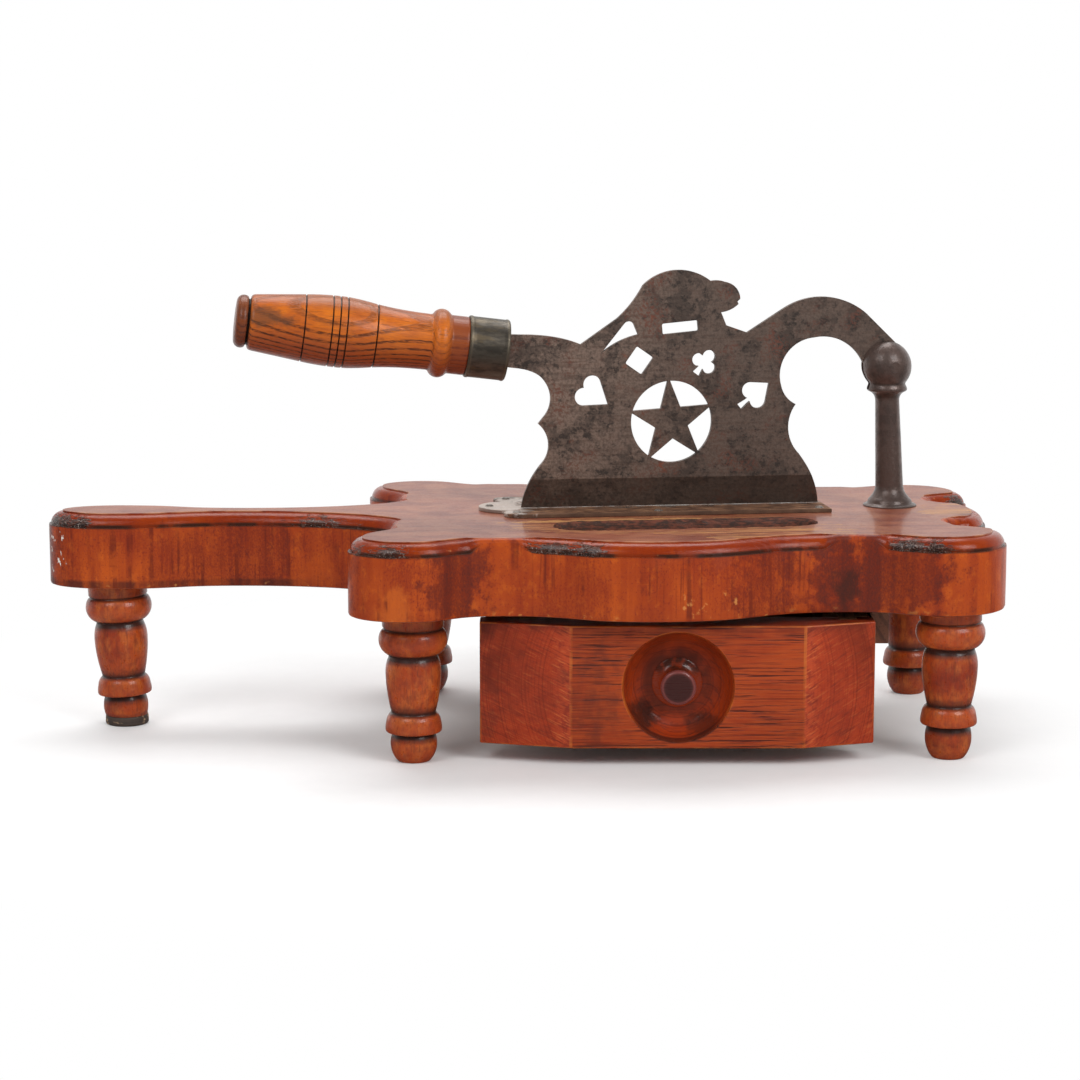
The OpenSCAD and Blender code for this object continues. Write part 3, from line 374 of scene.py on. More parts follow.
# %% Iron patina
w, given, out = shared_effect(
    "Iron patina", {"Place": ORIGIN, "Rust Spread": 0.36}, ("Dark", "Rust", "Pits")
)
broad = w.noise(given["Place"], (55, 55, 55), 5.0, 0.6)
small = w.noise(given["Place"], (330, 330, 330), 4.0, 0.65)
specks = w.noise(given["Place"], (900, 900, 900), 3.0, 0.6)
w.feed(out["Dark"], w.grade(w.total((broad, 0.55), (small, 0.45)), 0.46, 0.58))
rust = w.noise(given["Place"], (75, 75, 75), 6.0, 0.66)
level = w.less(1.0, given["Rust Spread"])
w.feed(out["Rust"], w.grade(w.less(rust, level), 0.0, 0.07))
w.feed(out["Pits"], w.total((small, 0.6), (specks, 0.4)))
print("effect:", w.tree.name)

# %% [markdown]
# ## Varnished board
# The board is a pale close-grained wood under old red varnish. Where hands and cloths rubbed it, the colour
# is a warm orange; in the coves it has kept its dark red, with fine drips down the edge. The top is duller
# and browner. Along the moulding the varnish holds black dirt, and by the drop slot the knife has worn it
# down to bare wood. A painted picture could show all this, but it would have to be unwrapped and painted
# again after each change of shape. Noise that fills space needs no unwrapping, and numbers marked on the
# mesh, such as *across* the edge, tell it which part is which.

# %% Side of the board
w = Finish("board_varnish")
place = w.place
across, moulded, grime = (w.attribute(name) for name in ("across", "moulded", "grime"))
grain = w.effect("Timber grain", Along=place, Ring_Pitch=0.007, Wander=0.02, Pith=(0, 0.03, -0.03))
patch = w.effect("Blotches", Place=place, Size=0.05, Spread=0.5, Soft=0.3)
mottle = w.effect("Blotches", Place=w.stretched(place, (1, 1, 0.8)), Size=0.0042, Spread=0.47, Soft=0.16)
crazed = w.noise(place, (1250, 1250, 850), 3.0, 0.7)
brushed = w.noise(place, (520, 520, 26), 3.0, 0.62)
layers = w.noise(place, (50, 50, 1500), 2.0, 0.5)
drips = w.noise(place, (430, 430, 15), 2.0)
drip_field = w.effect("Blotches", Place=place, Size=0.034, Spread=0.5, Soft=0.12)
rough_grain = w.scaled(w.less(crazed, 0.5), 1.5)
washes = w.noise(place, (120, 120, 9), 3.0, 0.6)
side = w.coats(patch["Mask"], (0.45, 0.074, 0.006), (0.33, 0.044, 0.006))
side.lay(w.grade(washes, 0.44, 0.64, 0.0, 0.65), (0.25, 0.028, 0.006))
side.lay(w.grade(layers, 0.45, 0.70, 0.0, 0.35), (0.34, 0.050, 0.004))
side.lay(w.grade(mottle["Tone"], 0.52, 0.70, 0.0, 0.4), (0.54, 0.112, 0.009))
red_field = w.grade(w.noise(place, (26, 26, 26), 3.0), 0.36, 0.66, 0.15, 1.0)
side.lay(w.grade(w.plus(red_field, rough_grain), 0.55, 1.15, 0.0, 0.6), (0.22, 0.023, 0.006))
side.lay(w.times(w.grade(brushed, 0.46, 0.66, 0.0, 0.45), red_field), (0.19, 0.019, 0.006))
side.lay(w.grade(crazed, 0.54, 0.68, 0.0, 0.5), (0.18, 0.018, 0.006))
print("side of the board:", len(w.tree.nodes), "nodes")

# %% [markdown]
# Old varnish stays dark in the coves. A few places are rubbed, smudged or chafed, and drips run down.

# %% Marks on the side
dark_places = (
    ((-0.026, -0.096, 0.086), (0.021, 0.03, 0.04), 0.82),
    ((0.116, -0.096, 0.082), (0.026, 0.03, 0.05), 0.65),
    ((0.143, -0.083, 0.082), (0.020, 0.03, 0.040), 0.9),
    ((0.170, -0.089, 0.086), (0.034, 0.03, 0.035), 0.75),
    ((0.158, -0.083, 0.086), (0.014, 0.03, 0.045), 0.8),
    ((-0.128, -0.014, 0.086), (0.040, 0.03, 0.03), 0.42),
    ((-0.219, 0.000, 0.085), (0.012, 0.03, 0.03), 0.75),
    ((-0.015, 0.098, 0.085), (0.040, 0.03, 0.04), 0.75),
    ((0.130, 0.090, 0.085), (0.035, 0.03, 0.04), 0.75),
    ((-0.070, -0.070, 0.085), (0.010, 0.03, 0.04), 0.7),
)
kept = w.spots(place, dark_places)
kept_rough = w.total((kept, 1), (rough_grain, 1), (w.less(washes, 0.5), 1.3))
side.lay(w.grade(kept, 0.0, 0.8, 0.0, 0.5), (0.17, 0.018, 0.007))
side.lay(w.grade(kept_rough, 0.10, 0.95, 0.0, 0.65), (0.15, 0.017, 0.007))
side.lay(w.grade(kept_rough, 0.45, 1.30, 0.0, 0.75), (0.080, 0.017, 0.012))
pale = w.spot(place, (-0.053, -0.103, 0.074), (0.010, 0.03, 0.014))
side.lay(w.times(pale, 0.55), (0.52, 0.110, 0.012))
smudge = w.spot(place, (0.147, -0.080, 0.079), (0.008, 0.03, 0.010))
side.lay(w.times(smudge, 0.6), (0.030, 0.015, 0.012))
on_tongue = w.grade(w.axis(place, "X"), -0.112, -0.092, 0.75, 0.0)
hem = w.times(w.band(across, 0.10, 0.02, 0.025), on_tongue)
side.lay(w.times(hem, w.grade(washes, 0.35, 0.6, 0.4, 1.0)), (0.055, 0.014, 0.010))
dripping = w.times(w.grade(drips, 0.52, 0.66), w.grade(drip_field["Tone"], 0.46, 0.60, 0.0, 0.7))
side.lay(dripping, (0.12, 0.014, 0.006))
chafed = w.spot(place, (0.088, -0.103, 0.073), (0.034, 0.03, 0.009))
low_edge = w.most(w.times(w.band(across, 0.09, 0.012, 0.02), red_field), w.grade(chafed, 0.2, 0.7))
chafed = w.times(low_edge, w.grade(mottle["Tone"], 0.58, 0.66, 0.0, 0.7))
side.lay(chafed, (0.56, 0.23, 0.06))
print("with its marks:", len(w.tree.nodes), "nodes")

# %% [markdown]
# The top is duller, with its grain showing. The knife swings in a line that is skewed to the board, and
# beside the slot it has laid the wood bare along that line.

# %% Top of the board
rings = w.grade(grain["Rings"], 0.1, 0.9, 0.1, 0.65)
top = w.coats(rings, (0.31, 0.093, 0.046), (0.19, 0.044, 0.024))
top.lay(w.grade(grain["Fibre"], 0.4, 0.7, 0.0, 0.55), (0.13, 0.027, 0.015))
top.lay(w.times(grain["Pores"], 0.45), (0.075, 0.018, 0.011))
top.lay(w.grade(patch["Tone"], 0.48, 0.68, 0.0, 0.6), (0.15, 0.028, 0.015))
POST_X, POST_Y = 176, 13
CUT_TURN = math.radians(7.5)
turn = w.add("VectorRotate", {"rotation_type": "Z_AXIS"}, Vector=place, Angle=-CUT_TURN)
w.set(turn, Center=(POST_X * MM, POST_Y * MM, 0))
along_cut = turn.outputs["Vector"]
scraped = w.noise(along_cut, (16, 560, 60), 5.0, 0.62)
worn_places = (
    ((0.072, -0.048, 0.103), (0.085, 0.012, 0.02), 1.0),
    ((0.104, -0.064, 0.103), (0.052, 0.022, 0.02), 1.0),
    ((0.006, -0.033, 0.103), (0.022, 0.020, 0.02), 1.0),
    ((0.070, -0.016, 0.103), (0.085, 0.011, 0.02), 1.0),
    ((0.066, -0.090, 0.103), (0.040, 0.008, 0.02), 1.0),
    ((0.205, -0.004, 0.103), (0.020, 0.024, 0.02), 1.0),
)
worn = w.spots(along_cut, worn_places)
bare = w.times(w.grade(worn, 0.05, 0.7), w.grade(scraped, 0.49, 0.62, 0.0, 0.85))
laid_open = (
    ((0.040, -0.0175, 0.103), (0.055, 0.006, 0.02), 0.36),
    ((0.204, -0.010, 0.103), (0.022, 0.020, 0.02), 0.45),
    ((0.092, -0.057, 0.103), (0.048, 0.011, 0.02), 0.47),
)
for centre, reach, scraped_from in laid_open:
    opened = w.grade(w.spot(along_cut, centre, reach), 0.1, 0.5)
    bare = w.most(bare, w.times(opened, w.grade(scraped, scraped_from, scraped_from + 0.10)))
top.lay(bare, w.blend(grain["Fibre"], (0.62, 0.33, 0.12), (0.40, 0.160, 0.055)))
cuts = w.times(w.grade(worn, 0.1, 0.7), w.grade(scraped, 0.34, 0.40, 1.0, 0.0))
top.lay(cuts, (0.05, 0.025, 0.018))
print("with the top:", len(w.tree.nodes), "nodes")

# %% [markdown]
# Side, moulding and top are told apart by how far across the edge a point lies. Dirt, pale specks on it
# that are painted glints, and chips come last. What is inside the slot has no varnish at all.

# %% Board varnish put together
ovolo = w.times(w.grade(across, 0.49, 0.55), moulded)
surface = Coats(w, side.colour)
surface.lay(w.times(ovolo, 0.65), (0.19, 0.020, 0.004))
knocked = w.times(ovolo, w.grade(w.noise(place, (130, 130, 130), 4.0), 0.69, 0.77))
surface.lay(knocked, (0.56, 0.25, 0.10))
surface.lay(w.grade(across, 0.90, 0.99), top.colour)
rub = w.noise(place, (70, 70, 70), 4.0)
arris = w.times(w.band(across, 0.955, 0.025, 0.03), w.grade(rub, 0.40, 0.62, 0.0, 0.85))
surface.lay(arris, (0.50, 0.22, 0.11))
quirk = w.times(w.band(across, 0.545, 0.04, 0.04), w.times(moulded, w.grade(rub, 0.36, 0.56, 0.2, 0.95)))
surface.lay(quirk, (0.034, 0.015, 0.010))
crust = w.noise(place, (240, 420, 1000), 4.0, 0.68)
lodged = w.times(grime, w.grade(across, 0.60, 0.86, 1.0, 0.35))
lodged = w.plus(lodged, w.scaled(w.less(crust, 0.5), 2.2))
dirt = w.times(w.grade(lodged, 0.38, 0.66), w.grade(grime, 0.02, 0.15))
surface.lay(dirt, w.blend(w.grade(crust, 0.45, 0.62), (0.024, 0.011, 0.008), (0.100, 0.034, 0.020)))
# Pale specks on the dirt crust: painted glints, a highlight fixed in the colour.
painted_glints = w.times(dirt, w.grade(crazed, 0.55, 0.67, 0.0, 0.6))
surface.lay(painted_glints, (0.40, 0.32, 0.28))
raw = w.grade(across, 0.0, 0.06, 1.0, 0.0)
rim = w.grade(w.axis(place, "Z"), 0.094, 0.1005)
wall = w.blend(grain["Fibre"], (0.27, 0.084, 0.050), (0.11, 0.036, 0.024))
torn = w.blend(w.times(rim, w.grade(crust, 0.36, 0.60, 0.15, 0.92)), wall, (0.044, 0.029, 0.024))
surface.lay(raw, torn)
chips = w.noise(place, (480, 480, 260), 4.0, 0.6)
flecked = w.spot(place, (-0.219, -0.010, 0.084), (0.010, 0.018, 0.022))
flecks = w.times(w.grade(chips, 0.60, 0.64), w.grade(flecked, 0.2, 0.6))
surface.lay(flecks, (0.66, 0.62, 0.57))
polished = w.times(ovolo, w.grade(across, 0.90, 0.95, 1.0, 0.0))
dull = w.total(
    (w.grade(crazed, 0.3, 0.7, 0.28, 0.40), 1),
    (w.grade(across, 0.92, 0.99, 0.0, 0.12), 1),
    (bare, 0.22),
    (raw, 0.45),
    (polished, -0.17),
    (dirt, -0.08),
)
lumps = w.times(dirt, w.times(crust, crazed))
height = w.total((grain["Fibre"], 0.25), (rub, 0.5), (crazed, 0.35), (lumps, 18.0), (cuts, -0.8))
board_finish = w.surface(
    Base_Color=surface.colour,
    Roughness=dull,
    Normal=w.bump(height, 0.0004, 0.6),
    Coat_Weight=w.total((w.grade(across, 0.90, 0.99, 0.03, 0.22), 1), (dirt, 0.3)),
    Coat_Roughness=0.12,
    Specular_IOR_Level=0.22,
)

# %% [markdown]
# ## Turned legs
# The legs are turned from the same wood. The barrels are rubbed paler, with short upright flecks of grain;
# the beads keep a deeper red, and every groove is dark with old dirt and painted shade, with a wider
# painted shade round it. A number on the turned mesh, *dip*, says how deep a point lies between its
# neighbours, so dirt, painted shade and wear follow the turning by themselves.

# %% Leg varnish
w = Finish("leg_varnish")
place = w.place
upright = w.turned(place, (0, math.pi / 2, 0))
dip = w.attribute("dip")
grain = w.effect("Timber grain", Along=upright, Ring_Pitch=0.006, Wander=0.01, Pith=(0, 0.06, 0.04))
patch = w.effect("Blotches", Place=place, Size=0.022, Spread=0.5, Soft=0.3)
rubbed = w.effect("Blotches", Place=w.stretched(place, (2, 2, 1)), Size=0.012, Spread=0.45, Soft=0.3)
mottle = w.effect("Blotches", Place=place, Size=0.0026, Spread=0.45, Soft=0.2)
wood = w.coats(patch["Mask"], (0.40, 0.060, 0.010), (0.24, 0.027, 0.008))
wood.lay(w.times(rubbed["Mask"], 0.6), (0.52, 0.135, 0.026))
wood.lay(w.times(mottle["Mask"], 0.4), (0.14, 0.020, 0.009))
wood.lay(w.times(grain["Pores"], 0.35), (0.070, 0.016, 0.009))
wood.lay(w.grade(grain["Fibre"], 0.45, 0.75, 0.0, 0.35), (0.10, 0.018, 0.009))
# Painted shade spreading out round the grooves and necks.
painted_groove_shade = w.grade(dip, -0.05, 0.30, 0.0, 0.65)
wood.lay(w.times(painted_groove_shade, w.grade(rubbed["Tone"], 0.3, 0.6, 0.5, 1.0)), (0.085, 0.020, 0.012))
# The grooves themselves go near black: old dirt and painted shade.
wood.lay(w.grade(dip, 0.26, 0.72, 0.0, 0.9), (0.024, 0.010, 0.008))
wood.lay(w.grade(dip, -0.25, -0.7, 0.0, 0.25), (0.40, 0.062, 0.014))
relief = w.total((grain["Fibre"], 0.5), (mottle["Tone"], 1))
leg_finish = w.surface(
    Base_Color=wood.colour,
    Roughness=w.grade(mottle["Tone"], 0.3, 0.7, 0.26, 0.42),
    Normal=w.bump(relief, 0.0004, 0.5),
    Coat_Weight=0.3,
    Coat_Roughness=0.14,
    Specular_IOR_Level=0.3,
)

# %% [markdown]
# ## Drawer front
# The drawer front is a coarser wood with long dark pores. Its layers lean, so the pores lie level on the
# flat middle and run off at a slant on the two side facets. A solid grain, tilted once, gives both.

# %% Drawer front oak
FACE_Y = -89.0
DISH_X, DISH_Z, DISH_R = 72.3, 36.1, 24.75
dish_z, dish_r = DISH_Z * MM, DISH_R * MM
w = Finish("drawer_oak")
place = w.place
leaning = w.turned(place, (math.radians(-60), 0, 0))
grain = w.effect("Timber grain", Along=leaning, Ring_Pitch=0.0042, Wander=0.006, Pith=(0, 0.0, -0.3))
patch = w.effect("Blotches", Place=place, Size=0.032, Spread=0.5, Soft=0.35)
lines = w.noise(leaning, (42, 260, 2500), 3.0, 0.62)
long_lines = w.noise(leaning, (12, 120, 1100), 2.0, 0.5)
wood = w.coats(patch["Mask"], (0.35, 0.047, 0.008), (0.26, 0.031, 0.008))
wood.lay(w.grade(grain["Fibre"], 0.38, 0.68, 0.0, 0.45), (0.44, 0.076, 0.009))
on_face = w.band(w.axis(place, "X"), 0.0765, 0.0515, 0.001)
on_facet = w.grade(on_face, 0.0, 1.0, 1.0, 0.0)
depth = w.less(w.axis(place, "Y"), FACE_Y * MM)
in_dish = w.grade(depth, 0.0006, 0.003)
print("drawer front:", len(w.tree.nodes), "nodes")

# %% [markdown]
# The facets are redder and mottled, with pale slanting flecks. The dish is a deep red with turning marks.

# %% Facets and dish
fine_mottle = w.noise(place, (300, 300, 240), 4.0, 0.66)
wood.lay(w.times(on_facet, 0.5), (0.50, 0.062, 0.022))
mottled = w.times(on_facet, w.grade(fine_mottle, 0.47, 0.64, 0.0, 0.55))
wood.lay(mottled, (0.19, 0.019, 0.011))
pale_flecks = w.times(on_facet, w.grade(lines, 0.36, 0.43, 0.75, 0.0))
wood.lay(pale_flecks, (0.54, 0.13, 0.034))
wood.lay(w.times(in_dish, 0.55), (0.35, 0.031, 0.005))
from_dish = w.vector("SUBTRACT", place, (DISH_X * MM, FACE_Y * MM, dish_z))
from_dish = w.vector("LENGTH", w.stretched(from_dish, (1, 0, 1)))
turning = w.noise(from_dish, (1150, 0, 0), 3.0, 0.6)
wood.lay(w.times(in_dish, w.grade(turning, 0.46, 0.66, 0.0, 0.5)), (0.10, 0.011, 0.004))
pores = w.times(w.grade(lines, 0.50, 0.60), w.grade(long_lines, 0.40, 0.60, 0.35, 1.0))
pores = w.times(pores, w.grade(on_facet, 0.0, 1.0, 1.0, 0.5))
pores = w.times(pores, w.grade(in_dish, 0.0, 1.0, 1.0, 0.5))
wood.lay(w.times(pores, 0.9), (0.045, 0.010, 0.007))
wood.lay(w.grade(long_lines, 0.56, 0.70, 0.0, 0.35), (0.12, 0.017, 0.009))
print("with facets and dish:", len(w.tree.nodes), "nodes")

# %% [markdown]
# The front is darker along its top edge, and its ends hold old dark varnish. The dish has painted shade in
# its hollow, darkest towards its top, with some dirt, and dark patches low in it and round the knob's foot
# that are painted shadow with some dirt. It is rubbed pale at its rim, like the edges of the facets.

# %% Stains, painted shade and rubbed edges
smears = w.noise(place, (90, 90, 60), 4.0, 0.6)
for centre, reach, share in (
    ((0.004, -0.083, 0.034), (0.026, 0.03, 0.024), 0.22),
    ((0.140, -0.083, 0.022), (0.020, 0.03, 0.016), 0.12),
    ((-0.013, -0.078, 0.040), (0.006, 0.03, 0.05), 0.3),
    ((0.035, -0.090, 0.032), (0.016, 0.03, 0.03), 0.45),
):
    stain = w.times(w.spot(place, centre, reach), share)
    wood.lay(w.times(stain, w.grade(smears, 0.35, 0.6, 0.3, 1.0)), (0.055, 0.018, 0.014))
lift = w.axis(place, "Z")
upper = w.grade(lift, 0.0575, 0.0636, 0.0, 0.45)
wood.lay(w.times(upper, w.grade(smears, 0.36, 0.6)), (0.07, 0.014, 0.010))
# Painted shade in the dish's hollow, darkest towards its top, with some dirt.
shaded = w.grade(lift, dish_z - 0.014, dish_z + 0.012, 0.25, 0.8)
painted_dish_shade = w.times(w.grade(depth, 0.0008, 0.010), shaded)
wood.lay(w.times(painted_dish_shade, w.grade(smears, 0.36, 0.60, 0.25, 0.75)), (0.105, 0.012, 0.004))
# Dark patches low in the dish and round the knob's foot: painted shadow, with some dirt.
left_low = w.spot(place, (0.0565, -0.083, 0.0205), (0.010, 0.03, 0.010))
right_low = w.spot(place, (0.0830, -0.083, 0.0180), (0.010, 0.03, 0.007))
corner = w.most(left_low, w.times(right_low, 0.75))
round_knob = w.times(w.band(from_dish, 0.0125, 0.0012, 0.0035), w.grade(smears, 0.34, 0.6, 0.1, 0.5))
dish_shadow_and_dirt = w.times(w.most(w.times(corner, 0.8), round_knob), w.grade(depth, 0.001, 0.004))
wood.lay(dish_shadow_and_dirt, (0.032, 0.012, 0.008))
rim = w.band(from_dish, dish_r + 0.0001, 0.0003, 0.0004)
rim = w.times(rim, w.grade(depth, 0.0022, 0.003, 1.0, 0.0))
rim = w.times(rim, w.grade(lift, dish_z - 0.020, dish_z - 0.006))
low_rim = w.band(from_dish, dish_r - 0.0002, 0.0005, 0.0006)
low_rim = w.times(low_rim, w.grade(lift, dish_z - 0.022, dish_z - 0.010, 0.75, 0.0))
wood.lay(low_rim, (0.034, 0.011, 0.008))
rubbed = w.times(w.most(w.attribute("edge"), rim), w.grade(smears, 0.40, 0.62, 0.05, 0.6))
wood.lay(rubbed, (0.50, 0.13, 0.022))
height = w.total((grain["Fibre"], 0.4), (pores, -1))
drawer_finish = w.surface(
    Base_Color=wood.colour,
    Roughness=w.grade(grain["Fibre"], 0.3, 0.7, 0.30, 0.42),
    Normal=w.bump(height, 0.0003, 0.45),
    Coat_Weight=0.2,
    Coat_Roughness=0.14,
    Specular_IOR_Level=0.22,
)

# %% [markdown]
# ## Knob, pad and bare wood
# The knob is turned from a dark red wood and polished by fingers. The pad under the tongue leg is a plain
# dark disc, chipped to its pale core. The drawer box and its runners were never varnished. Those woods
# differ only in tone and in the way their grain runs, so one function makes them all.

# %% Knob polish
w = Finish("knob_polish")
place = w.place
grain = w.effect("Timber grain", Along=place, Ring_Pitch=0.003, Wander=0.004, Pith=(0, 0.02, 0.03))
dip = w.attribute("dip")
fibre = w.grade(grain["Fibre"], 0.2, 0.8, 0.3, 0.6)
wood = w.coats(fibre, (0.205, 0.052, 0.046), (0.130, 0.036, 0.032))
wood.lay(w.grade(dip, 0.15, 0.8, 0.0, 0.8), (0.018, 0.008, 0.007))
flare = w.coats(grain["Fibre"], (0.32, 0.040, 0.008), (0.17, 0.020, 0.007))
upper_side = w.grade(w.axis(place, "Y"), 0.001, 0.008)
# Painted shade on the upper side of the knob's flared foot, under the dish's upper rim.
shade_breakup = w.noise(place, (260, 260, 260), 3.0, 0.6)
painted_flare_shade = w.times(upper_side, w.grade(shade_breakup, 0.38, 0.58, 0.2, 0.9))
flare.lay(painted_flare_shade, (0.040, 0.012, 0.007))
wood.lay(w.grade(w.axis(place, "Z"), 0.0040, 0.0085, 1.0, 0.0), flare.colour)
knob_finish = w.surface(
    Base_Color=wood.colour,
    Roughness=w.grade(grain["Fibre"], 0.3, 0.7, 0.24, 0.36),
    Normal=w.bump(grain["Fibre"], 0.0002, 0.3),
    Coat_Weight=0.4,
    Coat_Roughness=0.1,
    Specular_IOR_Level=0.25,
)

# %% Pad wood
w = Finish("pad_wood")
place = w.place
chip = w.effect("Blotches", Place=w.stretched(place, (1, 1, 2)), Size=0.006, Spread=0.43, Soft=0.06)
fibre = w.noise(place, (90, 90, 700), 3.0)
wood = w.coats(fibre, (0.085, 0.055, 0.040), (0.035, 0.024, 0.019))
wood.lay(chip["Mask"], (0.42, 0.27, 0.15))
pad_finish = w.surface(
    Base_Color=wood.colour,
    Roughness=w.grade(fibre, 0.3, 0.7, 0.55, 0.7),
    Normal=w.bump(fibre, 0.0004, 0.5),
)

# %% Plain wood
def plain_wood(name, turn, pale, deep, late):
    """Planed wood without varnish, its length turned from X: two tones of age and the darker late wood."""
    w = Finish(name)
    along = w.turned(w.place, (0, 0, turn))
    grain = w.effect("Timber grain", Along=along, Ring_Pitch=0.005, Wander=0.012, Pith=(0, 0.02, -0.04))
    aged = w.effect("Blotches", Place=w.place, Size=0.03, Spread=0.5, Soft=0.3)
    wood = w.coats(aged["Mask"], pale, deep)
    wood.lay(w.grade(grain["Rings"], 0.2, 0.9, 0.0, 0.5), late)
    wood.lay(w.times(grain["Pores"], 0.5), (0.05, 0.025, 0.015))
    dull = w.grade(grain["Fibre"], 0.3, 0.7, 0.58, 0.75)
    return w.surface(Base_Color=wood.colour, Roughness=dull, Normal=w.bump(grain["Fibre"], 0.0004, 0.5))


BOX_TONES = ((0.40, 0.235, 0.12), (0.26, 0.135, 0.07), (0.20, 0.095, 0.045))
RUNNER_TONES = ((0.23, 0.088, 0.044), (0.13, 0.048, 0.026), (0.08, 0.030, 0.018))
box_finish = plain_wood("box_wood", math.pi / 2, *BOX_TONES)
back_finish = plain_wood("box_back_wood", 0.0, *BOX_TONES)
runner_finish = plain_wood("runner_wood", math.pi / 2, *RUNNER_TONES)

# %% [markdown]
# ## Grip
# The grip is turned from a ring-porous wood. Seen from the front, its upper side lies flat to the rings
# and is a plain orange, while the rings come out below as dark wavy lines and close in an arch at the end.
# Putting the heart of the tree below and behind the grip gives that by itself. Its lower side and a band
# along its top are darkened as painted shade. The five lines round it were burnt in with a wire on the
# lathe; they are grooves in the mesh and the *dip* there blackens them.

# %% Grip wood
w = Finish("grip_wood")
place = w.place
lengthwise = w.turned(place, (0, math.pi / 2, 0))
dip = w.attribute("dip")
grain = w.effect("Timber grain", Along=lengthwise, Ring_Pitch=0.0021, Wander=0.0036, Pith=(0, 0.021, 0.023))
patch = w.effect("Blotches", Place=place, Size=0.02, Spread=0.5, Soft=0.35)
height = w.axis(place, "X")
reach = w.axis(place, "Z")
wood = w.coats(patch["Mask"], (0.64, 0.166, 0.012), (0.48, 0.106, 0.010))
# Painted shade: the lower side of the grip is darker.
wood.lay(w.grade(height, -0.013, 0.008, 0.9, 0.0), (0.19, 0.028, 0.011))
wood.lay(w.grade(grain["Fibre"], 0.4, 0.7, 0.0, 0.4), (0.25, 0.050, 0.012))
dotted = w.noise(lengthwise, (260, 1500, 1500), 2.0, 0.6)
porous = w.times(w.grade(grain["Rings"], 0.28, 0.80), w.grade(dotted, 0.36, 0.56, 0.25, 1.0))
strong = w.grade(height, -0.004, 0.011, 0.94, 0.42)
strong = w.times(strong, w.grade(w.band(reach, 0.0312, 0.003, 0.002), 0.0, 1.0, 1.0, 0.35))
wood.lay(w.times(porous, strong), (0.055, 0.017, 0.008))
wood.lay(w.times(grain["Pores"], 0.35), (0.10, 0.03, 0.014))
# Painted shade: a band along the top of the grip is darker.
wood.lay(w.grade(height, 0.0085, 0.0150, 0.0, 0.6), (0.15, 0.040, 0.011))
knot = w.spot(place, (0.004, -0.012, 0.112), (0.005, 0.02, 0.016))
wood.lay(w.times(knot, 0.6), (0.075, 0.040, 0.024))
wood.lay(w.grade(reach, 0.1185, 0.1205, 0.0, 0.75), (0.085, 0.024, 0.014))
wood.lay(w.grade(reach, 0.026, 0.030, 0.75, 0.0), (0.15, 0.028, 0.012))
wood.lay(w.grade(dip, 0.3, 0.8), (0.014, 0.008, 0.006))
grip_finish = w.surface(
    Base_Color=wood.colour,
    Roughness=w.grade(grain["Fibre"], 0.3, 0.7, 0.26, 0.40),
    Normal=w.bump(w.less(grain["Fibre"], porous), 0.0003, 0.4),
    Coat_Weight=0.15,
    Coat_Roughness=0.12,
    Specular_IOR_Level=0.22,
)

# %% [markdown]
# ## Iron and bronze
# The blade is sheet iron with a brown patina: grey-brown, clouded with near black, and here and there an
# orange spot of rust. The ground edge is darker and smoother. The post is forged and has soft highlights.
# The bed plate is rubbed bright at its lobes and rusted in front of the blade. The ferrule is dull bronze.
# Old metal differs mostly in how far its patina has gone, so all of them start from the same node group.
# Such a brown skin is no bare metal, so *Metallic* stays below 1.

# %% Blade iron
EDGE_Y, BEVEL_HIGH = -64.7, 13.5
bevel_line = EDGE_Y + BEVEL_HIGH
w = Finish("blade_iron")
place = w.place
rust = w.effect("Iron patina", Place=place, Rust_Spread=0.36)
fine = w.effect("Blotches", Place=place, Size=0.0014, Spread=0.48, Soft=0.2)
specks = w.effect("Blotches", Place=w.stretched(place, (1, 1, 1.4)), Size=0.0028, Spread=0.44, Soft=0.05)
rolled = w.noise(place, (35, 35, 700), 3.0, 0.6)
toward_post = w.grade(w.axis(place, "X"), -0.165, -0.075)
iron = w.coats(fine["Mask"], (0.248, 0.170, 0.131), (0.155, 0.106, 0.083))
iron.lay(w.times(toward_post, 0.58), (0.075, 0.052, 0.042))
iron.lay(w.grade(rolled, 0.45, 0.70, 0.0, 0.45), (0.095, 0.052, 0.037))
iron.lay(w.times(rust["Dark"], 0.58), (0.034, 0.025, 0.021))
iron.lay(w.times(specks["Mask"], w.grade(rust["Dark"], 0.0, 0.6, 0.22, 0.62)), (0.026, 0.020, 0.017))
ruddy = w.grade(w.noise(place, (48, 48, 60), 4.0, 0.6), 0.50, 0.66, 0.0, 0.75)
iron.lay(w.times(ruddy, w.grade(fine["Tone"], 0.46, 0.58)), (0.18, 0.060, 0.038))
iron.lay(w.times(rust["Rust"], 0.7), (0.24, 0.060, 0.026))
ground = w.grade(w.axis(place, "Z"), (bevel_line - 0.4) * MM, (bevel_line + 0.2) * MM, 1.0, 0.0)
iron.lay(w.times(ground, 0.60), (0.034, 0.019, 0.013))
blade_finish = w.surface(
    Base_Color=iron.colour,
    Metallic=0.35,
    Roughness=w.grade(rust["Pits"], 0.35, 0.65, 0.42, 0.62),
    Normal=w.bump(rust["Pits"], 0.00025, 0.5),
)

# %% Post iron
w = Finish("post_iron")
place = w.place
rust = w.effect("Iron patina", Place=place, Rust_Spread=0.33)
dip = w.attribute("dip")
iron = w.coats(w.times(rust["Dark"], 0.55), (0.112, 0.074, 0.062), (0.052, 0.035, 0.030))
iron.lay(w.times(rust["Rust"], 0.5), (0.16, 0.075, 0.035))
iron.lay(w.grade(dip, 0.15, 0.7, 0.0, 0.7), (0.020, 0.014, 0.012))
post_finish = w.surface(
    Base_Color=iron.colour,
    Metallic=0.4,
    Roughness=w.grade(rust["Pits"], 0.35, 0.65, 0.28, 0.48),
    Normal=w.bump(rust["Pits"], 0.0006, 0.6),
    Coat_Weight=0.25,
    Coat_Roughness=0.2,
)

